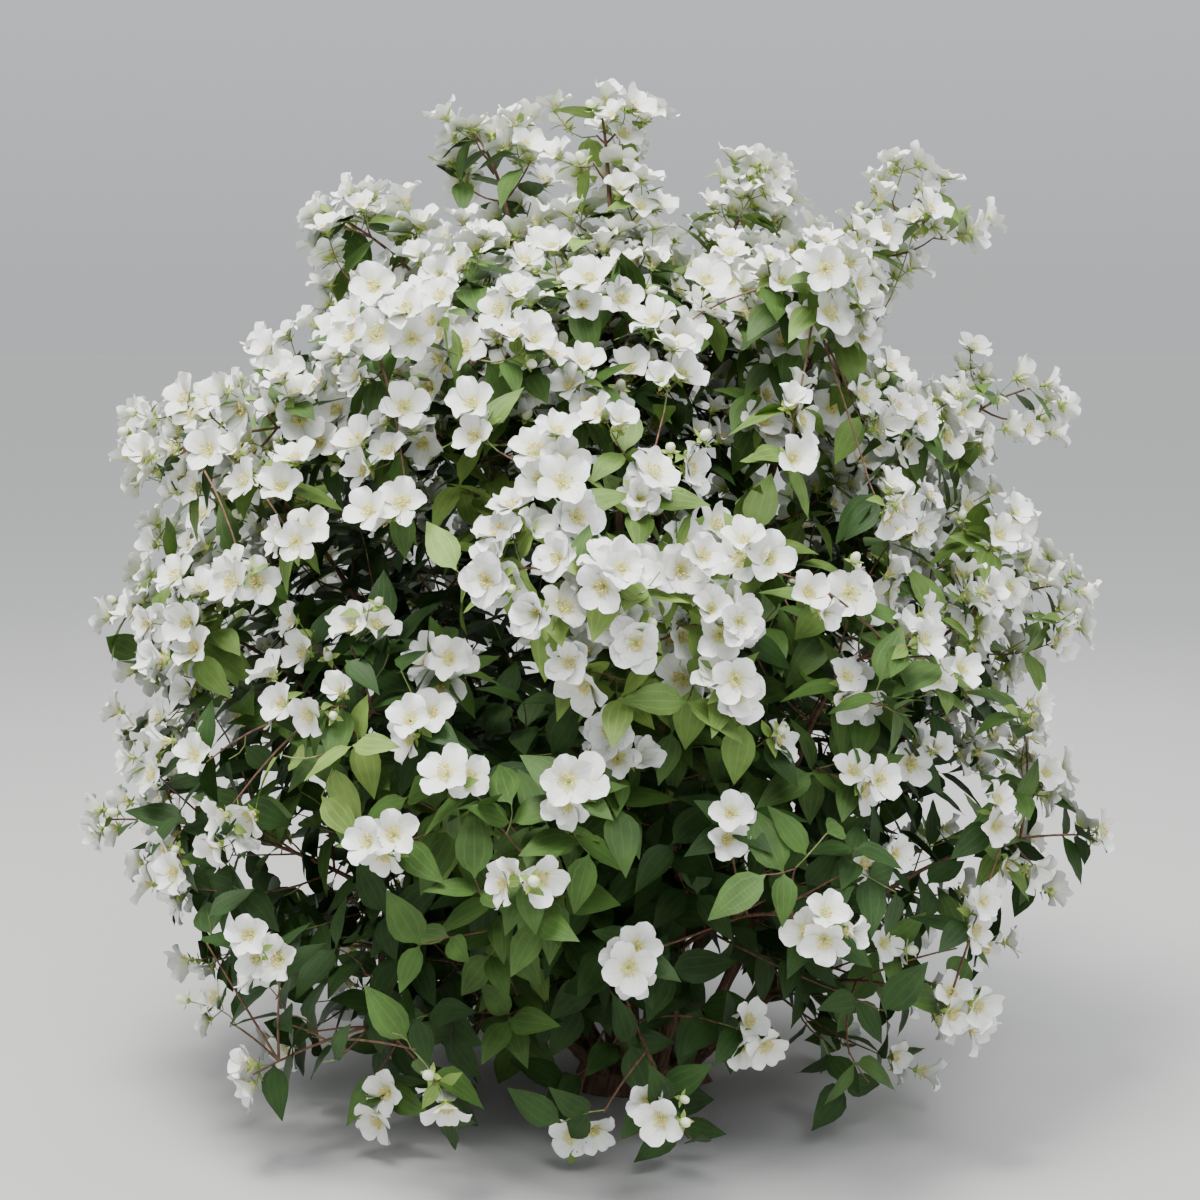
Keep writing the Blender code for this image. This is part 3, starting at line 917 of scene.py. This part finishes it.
def calyxShape():
    # A cup under the petals and four pointed sepals
    points, faces = [], []
    sides = calyx["sides"]
    for radius, height in calyx["rings"]:
        points += [heading(360 * k / sides) * radius + up * height for k in range(sides)]
    for r in range(len(calyx["rings"]) - 1):
        for k in range(sides):
            a, b = r * sides + k, r * sides + (k + 1) % sides
            faces.append((a, b, b + sides, a + sides))
    for k in range(4):
        turn = Matrix.Rotation(math.pi / 2 * k + math.pi / 4, 3, "Z")
        first = len(points)
        points += [turn @ Vector(p) for p in calyx["sepal"]]
        middle = first + 5  # the last point of the list, which the others go round
        faces += [(first + a, first + (a + 1) % 5, middle) for a in range(5)]
    return shapeObject("calyxShape", points, faces)


def budShape(index):
    # A round closed bud with four low seams
    shape = bmesh.new()
    bmesh.ops.create_uvsphere(shape, u_segments=8, v_segments=6, radius=bud["radius"])
    for vertex in shape.verts:
        angle = math.atan2(vertex.co.y, vertex.co.x)
        vertex.co *= 1 + 0.05 * math.cos(4 * angle) * (1 - abs(vertex.co.z) / bud["radius"])
        vertex.co.z = vertex.co.z * (1.15 + 0.25 * index) + 0.0040
    mesh = meshFrom(f"budShape{index}", shape)
    mesh.shade_smooth()
    return bpy.data.objects.new(mesh.name, mesh)


# Node trees

def newTree(name, inputs):
    tree = bpy.data.node_groups.new(name, "GeometryNodeTree")
    for label, kind in inputs:
        tree.interface.new_socket(label, in_out="INPUT", socket_type=kind)
    tree.interface.new_socket("Geometry", in_out="OUTPUT", socket_type="NodeSocketGeometry")
    return tree, tree.nodes.new("NodeGroupInput"), tree.nodes.new("NodeGroupOutput")


def addNode(tree, kind, links=None, **settings):
    made = tree.nodes.new(kind)
    for key, value in settings.items():
        setattr(made, key, value)
    for key, source in (links or {}).items():
        socket = made.inputs[key]
        if isinstance(source, bpy.types.NodeSocket):
            tree.links.new(source, socket)
        else:
            socket.default_value = source
    return made


def addMath(tree, operation, first, second=0.5):
    return addNode(tree, "ShaderNodeMath", {0: first, 1: second}, operation=operation).outputs[0]


def addNoise(tree, place, scale, detail, roughness=0.5):
    settings = {"Vector": place, "Scale": scale, "Detail": detail, "Roughness": roughness}
    return addNode(tree, "ShaderNodeTexNoise", settings).outputs["Fac"]


def endTree(tree, given, result, geometry):
    # Makes whatever is repeated real, and gives it its finish
    real = addNode(tree, "GeometryNodeRealizeInstances", {"Geometry": geometry})
    finished = addNode(tree, "GeometryNodeSetMaterial", {
        "Geometry": real.outputs["Geometry"],
        "Material": given.outputs["Finish"],
    })
    tree.links.new(finished.outputs["Geometry"], result.inputs["Geometry"])
    return tree


pointValues = {"turn": "QUATERNION", "size": "FLOAT", "kind": "INT"}  # what each point says, in this order


def scatterTree():
    # Puts one shape of a set on each point, turned and sized as the point says
    tree, given, result = newTree("scatterShapes", [
        ("Points", "NodeSocketGeometry"),
        ("Shapes", "NodeSocketCollection"),
        ("Size", "NodeSocketFloat"),
        ("Finish", "NodeSocketMaterial"),
    ])
    kept = addNode(tree, "GeometryNodeCollectionInfo", {
        "Collection": given.outputs["Shapes"],
        "Separate Children": True,
        "Reset Children": True,
    })
    said = {}
    for label, kind in pointValues.items():
        read = addNode(tree, "GeometryNodeInputNamedAttribute", {"Name": label}, data_type=kind)
        said[label] = read.outputs["Attribute"]
    placed = addNode(tree, "GeometryNodeInstanceOnPoints", {
        "Points": given.outputs["Points"],
        "Instance": kept.outputs["Instances"],
        "Pick Instance": True,
        "Instance Index": said["kind"],
        "Rotation": said["turn"],
        "Scale": addMath(tree, "MULTIPLY", said["size"], given.outputs["Size"]),
    })
    return endTree(tree, given, result, placed.outputs["Instances"])


def addSkin(tree, curves, ring):
    # A capped skin on curves, as thick as their own radius
    thick = addNode(tree, "GeometryNodeInputRadius")
    skin = addNode(tree, "GeometryNodeCurveToMesh", {
        "Curve": curves,
        "Profile Curve": ring,
        "Scale": thick.outputs["Radius"],
        "Fill Caps": True,
    })
    return skin.outputs["Mesh"]


def addRing(tree, given):
    settings = {"Resolution": given.outputs["Sides"], "Radius": 1.0}
    return addNode(tree, "GeometryNodeCurvePrimitiveCircle", settings).outputs["Curve"]


def twigTree():
    # A plain round skin
    tree, given, result = newTree("twigSkin", [
        ("Curves", "NodeSocketGeometry"),
        ("Sides", "NodeSocketInt"),
        ("Finish", "NodeSocketMaterial"),
    ])
    skin = addSkin(tree, given.outputs["Curves"], addRing(tree, given))
    smooth = addNode(tree, "GeometryNodeSetShadeSmooth", {"Geometry": skin})
    return endTree(tree, given, result, smooth.outputs["Geometry"])


def capture(tree, label, kind, geometry, value):
    # Keeps a value on the geometry as it is here, for use further on
    made = tree.nodes.new("GeometryNodeCaptureAttribute")
    made.capture_items.new(kind, label)
    tree.links.new(geometry, made.inputs["Geometry"])
    tree.links.new(value, made.inputs[label])
    return made.outputs["Geometry"], made.outputs[label]


bark = {"pitch": 9.0, "ridges": 2.6}  # turns of the pattern along the stem, and its scale


def barkTree():
    # A round skin with long ridges that run up the stem
    tree, given, result = newTree("barkSkin", [
        ("Curves", "NodeSocketGeometry"),
        ("Sides", "NodeSocketInt"),
        ("Step", "NodeSocketFloat"),
        ("Relief", "NodeSocketFloat"),
        ("Finish", "NodeSocketMaterial"),
    ])
    even = addNode(tree, "GeometryNodeResampleCurve", {
        "Curve": given.outputs["Curves"],
        "Length": given.outputs["Step"],
    }, mode="LENGTH")
    where = addNode(tree, "GeometryNodeSplineParameter")
    spot = addNode(tree, "GeometryNodeInputPosition")
    curves, along = capture(tree, "Along", "FLOAT", even.outputs["Curve"], where.outputs["Length"])
    ring, around = capture(tree, "Around", "VECTOR", addRing(tree, given), spot.outputs["Position"])
    skin = addSkin(tree, curves, ring)
    split = addNode(tree, "ShaderNodeSeparateXYZ", {"Vector": around})
    grain = addNode(tree, "ShaderNodeCombineXYZ", {
        "X": split.outputs["X"],
        "Y": split.outputs["Y"],
        "Z": addMath(tree, "MULTIPLY", along, bark["pitch"]),
    })
    ridges = addNoise(tree, grain.outputs["Vector"], bark["ridges"], 3.0, 0.55)
    height = addMath(tree, "SUBTRACT", ridges, 0.5)
    height = addMath(tree, "MULTIPLY", height, given.outputs["Relief"])
    normal = addNode(tree, "GeometryNodeInputNormal")
    push = addNode(tree, "ShaderNodeVectorMath", {
        0: normal.outputs["Normal"],
        "Scale": height,
    }, operation="SCALE")
    raised = addNode(tree, "GeometryNodeSetPosition", {"Geometry": skin, "Offset": push.outputs["Vector"]})
    stored = addNode(tree, "GeometryNodeStoreNamedAttribute", {
        "Geometry": raised.outputs["Geometry"],
        "Name": "grain",
    }, data_type="FLOAT_VECTOR", domain="POINT")
    value = next(socket for socket in stored.inputs if socket.name == "Value" and socket.enabled)
    tree.links.new(grain.outputs["Vector"], value)
    smooth = addNode(tree, "GeometryNodeSetShadeSmooth", {"Geometry": stored.outputs["Geometry"]})
    return endTree(tree, given, result, smooth.outputs["Geometry"])


def makePiece(name, source, tree, settings, finish):
    # Runs the nodes on the source object, and keeps the result as a plain mesh at the origin
    modifier = source.modifiers.new("grow", "NODES")
    modifier.node_group = tree
    settings = {**settings, "Finish": finish}
    for item in tree.interface.items_tree:
        if item.in_out == "INPUT" and item.name in settings:
            modifier[item.identifier] = settings[item.name]
    link(source)
    graph = bpy.context.evaluated_depsgraph_get()
    mesh = bpy.data.meshes.new_from_object(source.evaluated_get(graph))
    mesh.name = name
    source.modifiers.remove(modifier)
    bpy.data.objects.remove(source)
    piece = link(bpy.data.objects.new(name, mesh))
    mesh.materials.clear()
    mesh.materials.append(finish)
    triangles = sum(len(p.vertices) - 2 for p in mesh.polygons)
    print("made", name, "with", triangles, "triangles")
    return piece


def pointsObject(name, items):
    # A point for each item, with its turn, size and kind of shape
    mesh = bpy.data.meshes.new(name)
    mesh.from_pydata([item[0] for item in items], [], [])
    for k, (label, kind) in enumerate(pointValues.items(), start=1):
        values = [item[k] for item in items]
        if kind == "QUATERNION":
            values = [number for turn in values for number in turn]
        mesh.attributes.new(label, kind, "POINT").data.foreach_set("value", values)
    return bpy.data.objects.new(name, mesh)


def curvesObject(name, limbs):
    data = bpy.data.curves.new(name, "CURVE")
    data.dimensions = "3D"
    for points, radii in limbs:
        spline = data.splines.new("POLY")
        spline.points.add(len(points) - 1)
        spline.points.foreach_set("co", [x for p in points for x in (*p, 1.0)])
        spline.points.foreach_set("radius", radii)
    return bpy.data.objects.new(name, data)


# Finishes

def newFinish(name, roughness, specular=0.5):
    finish = bpy.data.materials.new(name)
    finish.use_nodes = True
    shader = finish.node_tree.nodes["Principled BSDF"]
    shader.inputs["Roughness"].default_value = roughness
    shader.inputs["Specular IOR Level"].default_value = specular
    return finish, finish.node_tree, shader


def ramp(tree, source, stops):
    made = addNode(tree, "ShaderNodeValToRGB", {"Fac": source})
    scale = made.color_ramp.elements
    for end in (0, -1):
        scale[end].position = stops[end][0]
        scale[end].color = (*stops[end][1], 1)
    for place, colour in stops[1:-1]:
        scale.new(place).color = (*colour, 1)
    return made.outputs["Color"]


def mixColours(tree, factor, first, second, blend="MIX"):
    # In a colour mix, sockets 6 and 7 take the colours and output 2 gives the result
    links = {"Factor": factor, 6: first, 7: second}
    return addNode(tree, "ShaderNodeMix", links, data_type="RGBA", blend_type=blend).outputs[2]


def addBump(tree, shader, height, strength, distance):
    bump = addNode(tree, "ShaderNodeBump", {"Height": height, "Strength": strength, "Distance": distance})
    tree.links.new(bump.outputs["Normal"], shader.inputs["Normal"])


def petalFinish():
    # White, a little green and cream at the claw, darker in the middle and brighter at the rim as painted
    # shade and painted light of the cup, with fine veins that fan to the edge and darken the white as
    # painted crease shade
    finish, tree, shader = newFinish("petalWhite", 0.55, 0.3)
    shader.inputs["Subsurface Weight"].default_value = 0.25
    shader.inputs["Subsurface Radius"].default_value = (0.004, 0.004, 0.003)
    uv = addNode(tree, "ShaderNodeUVMap", uv_map="UVMap")
    split = addNode(tree, "ShaderNodeSeparateXYZ", {"Vector": uv.outputs["UV"]})
    # Claw to rim: the claw's own green and cream, then a darker middle and a brighter rim that are painted
    # shade and painted light
    body = ramp(tree, split.outputs["Y"], [
        (0.0, (0.50, 0.57, 0.20)),
        (0.18, (0.68, 0.71, 0.38)),
        (0.38, (0.83, 0.845, 0.77)),
        (0.75, (0.91, 0.915, 0.90)),
        (1.0, (0.965, 0.965, 0.965)),
    ])
    stretch = addNode(tree, "ShaderNodeMapping", {"Vector": uv.outputs["UV"], "Scale": (17.0, 1.3, 1.0)})
    veinsAndCreaseShade = addNoise(tree, stretch.outputs["Vector"], 1.0, 2.0)
    # The veins' noise darkens the white in fine lines: partly the veins' own colour, partly painted crease
    # shade
    shade = ramp(tree, veinsAndCreaseShade, [(0.36, (0.86, 0.875, 0.85)), (0.58, (1.0, 1.0, 1.0))])
    tree.links.new(mixColours(tree, 1.0, body, shade, "MULTIPLY"), shader.inputs["Base Color"])
    addBump(tree, shader, veinsAndCreaseShade, 0.45, 0.0008)
    return finish


leafLook = {
    "sideVein": 0.27,  # its place across the blade, from the midrib at 0 to the edge at 0.5
    "veinWidth": 0.045,
    "veinShare": 0.55,
    "mottle": 38.0,
    "dark": 0.72,  # shares of the plain colour
    "light": 1.22,
    "vein": 1.35,
}


def leafFinish(tint, colour):
    # Lighter veins: a midrib and a pair that arch beside it, with rungs between them
    finish, tree, shader = newFinish("leaf" + tint, 0.56, 0.25)
    uv = addNode(tree, "ShaderNodeUVMap", uv_map="UVMap")
    split = addNode(tree, "ShaderNodeSeparateXYZ", {"Vector": uv.outputs["UV"]})
    across = addMath(tree, "ABSOLUTE", addMath(tree, "SUBTRACT", split.outputs["X"], 0.5))
    beside = addMath(tree, "ABSOLUTE", addMath(tree, "SUBTRACT", across, leafLook["sideVein"]))
    vein = addNode(tree, "ShaderNodeMapRange", {
        "Value": addMath(tree, "MINIMUM", across, beside),
        "From Min": 0.0,
        "From Max": leafLook["veinWidth"],
        "To Min": 1.0,
        "To Max": 0.0,
    }).outputs["Result"]
    spot = addNode(tree, "ShaderNodeTexCoord")
    mottle = addNoise(tree, spot.outputs["Object"], leafLook["mottle"], 2.0)
    dark = tuple(c * leafLook["dark"] for c in colour)
    light = tuple(min(1, c * leafLook["light"]) for c in colour)
    body = ramp(tree, mottle, [(0.3, dark), (0.7, light)])
    pale = tuple(min(1, c * leafLook["vein"] + 0.01) for c in colour)
    mixed = mixColours(tree, addMath(tree, "MULTIPLY", vein, leafLook["veinShare"]), body, (*pale, 1))
    tree.links.new(mixed, shader.inputs["Base Color"])
    rungs = addNode(tree, "ShaderNodeTexWave", {
        "Vector": uv.outputs["UV"],
        "Scale": 5.0,
        "Distortion": 2.5,
        "Detail": 1.0,
    }, bands_direction="Y")
    relief = addMath(tree, "SUBTRACT", addMath(tree, "MULTIPLY", rungs.outputs["Fac"], 0.35), vein)
    addBump(tree, shader, relief, 0.3, 0.0006)
    return finish


def plainFinish(name, dark, light, scale, roughness, relief):
    # Two close colours mixed by noise, with a matching relief
    finish, tree, shader = newFinish(name, roughness)
    spot = addNode(tree, "ShaderNodeTexCoord")
    grain = addNoise(tree, spot.outputs["Object"], scale, 3.0)
    tree.links.new(ramp(tree, grain, [(0.35, dark), (0.68, light)]), shader.inputs["Base Color"])
    addBump(tree, shader, grain, 0.4, relief)
    return finish


def barkFinish():
    # Grey-brown with long strips that peel to a warmer brown
    finish, tree, shader = newFinish("bark", 0.86, 0.3)
    grain = addNode(tree, "ShaderNodeAttribute", attribute_name="grain")
    strips = addNoise(tree, grain.outputs["Vector"], 3.2, 5.0, 0.6)
    body = ramp(tree, strips, [
        (0.30, (0.040, 0.024, 0.016)),
        (0.48, (0.105, 0.062, 0.040)),
        (0.62, (0.190, 0.115, 0.072)),
        (0.78, (0.245, 0.180, 0.130)),
    ])
    tree.links.new(body, shader.inputs["Base Color"])
    addBump(tree, shader, strips, 0.7, 0.0015)
    return finish


leafColours = {
    "Deep": (0.022, 0.056, 0.010),
    "Mid": (0.054, 0.112, 0.021),
    "Fresh": (0.120, 0.205, 0.042),
    "Pale": (0.180, 0.280, 0.060),
}
finishes = {
    "petal": petalFinish(),
    "thread": plainFinish("stamenThread", (0.78, 0.74, 0.32), (0.88, 0.84, 0.45), 300, 0.6, 0.0002),
    "anther": plainFinish("anther", (0.86, 0.64, 0.13), (0.94, 0.79, 0.27), 500, 0.7, 0.0002),
    "calyx": plainFinish("calyx", (0.20, 0.31, 0.05), (0.36, 0.46, 0.10), 220, 0.55, 0.0002),
    "bud": plainFinish("bud", (0.70, 0.76, 0.46), (0.86, 0.88, 0.70), 130, 0.5, 0.0003),
    "woodTwig": plainFinish("woodTwig", (0.085, 0.040, 0.024), (0.20, 0.100, 0.055), 160, 0.7, 0.0006),
    "greenTwig": plainFinish("greenTwig", (0.13, 0.17, 0.045), (0.24, 0.28, 0.09), 140, 0.55, 0.0003),
    "bark": barkFinish(),
}
for tint, colour in leafColours.items():
    finishes["leaf" + tint] = leafFinish(tint, colour)
print("finishes made")


# Pieces

scatter, twigSkin, barkSkin = scatterTree(), twigTree(), barkTree()


def keep(piece, slot, *nodes):
    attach(piece, "root")
    if nodes:
        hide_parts(*nodes)


def scatterPiece(name, items, shapes, finish, slot):
    source = pointsObject(name + "Points", items)
    keep(makePiece(name, source, scatter, {"Shapes": shapes, "Size": 1.0}, finishes[finish]), slot, *masses)


leafShapes = shapeSet("leafShapes", [leafShape(k) for k in range(leaf["shapes"])])
for tint in tints:
    scatterPiece("leaves" + tint, leaves[tint], leafShapes, "leaf" + tint, "leafy_shoots")

corollaShapes = shapeSet("corollas", [corollaShape(k, *kind) for k, kind in enumerate(corollas)])
half = len(blooms) // 2
scatterPiece("petalsLeft", blooms[:half], corollaShapes, "petal", "flowering_shoots")
scatterPiece("petalsRight", blooms[half:], corollaShapes, "petal", "flowering_shoots")
opened = [(place, turn, size, k % tuft["shapes"]) for k, (place, turn, size, _) in enumerate(blooms)]
threadShapes, antherShapes = zip(*(stamenShapes(k) for k in range(tuft["shapes"])))
scatterPiece("stamenThreads", opened, shapeSet("threads", threadShapes), "thread", "flowering_shoots")
scatterPiece("anthers", opened, shapeSet("anthers", antherShapes), "anther", "flowering_shoots")
calyxes = [(place, turn, size, 0) for place, turn, size, _ in blooms + buds]
scatterPiece("calyxes", calyxes, shapeSet("calyxes", [calyxShape()]), "calyx", "flowering_shoots")
budShapes = shapeSet("buds", [budShape(k) for k in range(bud["shapes"])])
scatterPiece("buds", buds, budShapes, "bud", "flowering_shoots")

twigPieces = {"twigs": (woodTwigs, 6, "woodTwig"), "greenTwigs": (greenTwigs, 4, "greenTwig")}
for name, (limbs, sides, finish) in twigPieces.items():
    source = curvesObject(name + "Curves", limbs)
    keep(makePiece(name, source, twigSkin, {"Sides": sides}, finishes[finish]), "bark", *masses)

stem = {
    "points": 90,
    "sunk": 0.4,  # where it starts inside its stub
    "sides": 14,
    "step": 0.006,
    "relief": 0.0022,
    "nodeSpacing": 0.075,
    "nodeSwell": 0.16,
}


def stemLimb(name):
    # From inside its stub up to its tip mass, with a slight swelling at each pair of buds
    base, rise = feet[name]
    radius = cane["table"][name][3]
    steps = stem["points"]
    points = [base + rise * (cane["stubLength"] * stem["sunk"])]
    points += [bezier(caneCurves[name], cane["wood"] * k / steps) for k in range(1, steps + 1)]
    radii, run = [], 0.0
    for k, point in enumerate(points):
        run += (point - points[max(k - 1, 0)]).length
        beat = math.cos(math.tau * run / stem["nodeSpacing"])
        swell = 1 + stem["nodeSwell"] * max(0.0, beat) ** 6
        radii.append(radius * (1 + (cane["taper"] - 1) * k / steps) * swell)
    return points, radii


stemSource = curvesObject("stemCurves", [stemLimb(name) for name in canes])
stemSettings = {"Sides": stem["sides"], "Step": stem["step"], "Relief": stem["relief"]}
keep(makePiece("stems", stemSource, barkSkin, stemSettings, finishes["bark"]), "bark", *canes)


rootBark = {
    "voxel": 0.0022,
    "smoothing": 4,
    "around": 2.2,  # pitch of the bark's pattern round the crown, outwards and upwards
    "outwards": 30,
    "upwards": 20,
    "relief": 0.0016,
    "flat": 0.002,  # height below which the cut stays flat
}


def rootCrownPiece():
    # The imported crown, merged, evened out and given the bark's relief
    shape = bmesh.new()
    shape.from_mesh(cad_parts["root_crown"].data)
    bmesh.ops.remove_doubles(shape, verts=shape.verts, dist=1e-5)
    rough = link(bpy.data.objects.new("rootCrownRough", meshFrom("rootCrownRough", shape)))
    even = rough.modifiers.new("even", "REMESH")
    even.mode = "VOXEL"
    even.voxel_size = rootBark["voxel"]
    soft = rough.modifiers.new("soft", "SMOOTH")
    soft.iterations = rootBark["smoothing"]
    graph = bpy.context.evaluated_depsgraph_get()
    made = bpy.data.meshes.new_from_object(rough.evaluated_get(graph))
    bpy.data.objects.remove(rough)
    made.name = "rootCrown"
    grain = made.attributes.new("grain", "FLOAT_VECTOR", "POINT")
    values = []
    for vertex in made.vertices:
        x, y, z = vertex.co
        angle = math.atan2(y, x)
        run = math.hypot(x, y) * rootBark["outwards"] + z * rootBark["upwards"]
        place = Vector((math.cos(angle) * rootBark["around"], math.sin(angle) * rootBark["around"], run))
        values.extend(place)
        if z > rootBark["flat"]:
            vertex.co += vertex.normal * (noise.noise(place * 3) * rootBark["relief"])
        vertex.co.z = max(vertex.co.z, 0.0)
    grain.data.foreach_set("vector", values)
    made.shade_smooth()
    made.materials.clear()
    made.materials.append(finishes["bark"])
    keep(link(bpy.data.objects.new("rootCrown", made)), "bark", "root_crown")
    print("made rootCrown with", len(made.polygons), "faces")


rootCrownPiece()


# Studio

studio = {
    "camera": Vector((-0.045, -2.60, 0.871)),
    "lookDown": 6.84,
    "lens": 69.5,
    "floor": (0.50, 0.495, 0.48),
    "floorDrop": 0.0005,
    "horizon": (0.405, 0.41, 0.42),
    "sky": (0.92, 0.96, 1.0),
    "skyHeight": 0.85,
    "worldStrength": 1.32,
    "middle": Vector((-0.05, 0, 0.55)),  # what the lights look at
    "lights": {  # place, how far above the middle it looks, size, power and colour
        "keyLight": (Vector((-0.9, -1.25, 3.9)), 0.0, 1.5, 235, (1.0, 0.98, 0.95)),
        "fillLight": (Vector((0.7, -2.4, 2.9)), 0.25, 1.6, 60, (0.95, 0.98, 1.0)),
        "backLight": (Vector((0.6, 2.6, 2.4)), 0.0, 2.0, 30, (1.0, 1.0, 1.0)),
    },
}


def areaLight(name, place, above, size, power, colour):
    data = bpy.data.lights.new(name, "AREA")
    data.shape = "DISK"
    data.size = size
    data.energy = power
    data.color = colour
    light = link(bpy.data.objects.new(name, data))
    light.location = place
    look = studio["middle"] + up * above - place
    light.rotation_euler = look.to_track_quat("-Z", "Y").to_euler()


def addCamera():
    data = bpy.data.cameras.new("camera")
    data.lens = studio["lens"]
    camera = link(bpy.data.objects.new("camera", data))
    camera.location = studio["camera"]
    camera.rotation_euler = (math.radians(90 - studio["lookDown"]), 0, 0)
    bpy.context.scene.camera = camera


def addFloor():
    shape = bmesh.new()
    bmesh.ops.create_grid(shape, x_segments=1, y_segments=1, size=60.0)
    mesh = meshFrom("floor", shape)
    finish, _, shader = newFinish("floor", 0.9, 0.2)
    shader.inputs["Base Color"].default_value = (*studio["floor"], 1)
    mesh.materials.append(finish)
    floor = link(bpy.data.objects.new("floor", mesh))
    floor.location.z = -studio["floorDrop"]


def addWorld():
    world = bpy.data.worlds.new("world")
    world.use_nodes = True
    tree = world.node_tree
    where = addNode(tree, "ShaderNodeTexCoord")
    split = addNode(tree, "ShaderNodeSeparateXYZ", {"Vector": where.outputs["Generated"]})
    stops = [(0.0, studio["horizon"]), (studio["skyHeight"], studio["sky"])]
    tree.links.new(ramp(tree, split.outputs["Z"], stops), tree.nodes["Background"].inputs["Color"])
    tree.nodes["Background"].inputs["Strength"].default_value = studio["worldStrength"]
    bpy.context.scene.world = world


addCamera()
addFloor()
addWorld()
for name, settings in studio["lights"].items():
    areaLight(name, *settings)
print("studio built")
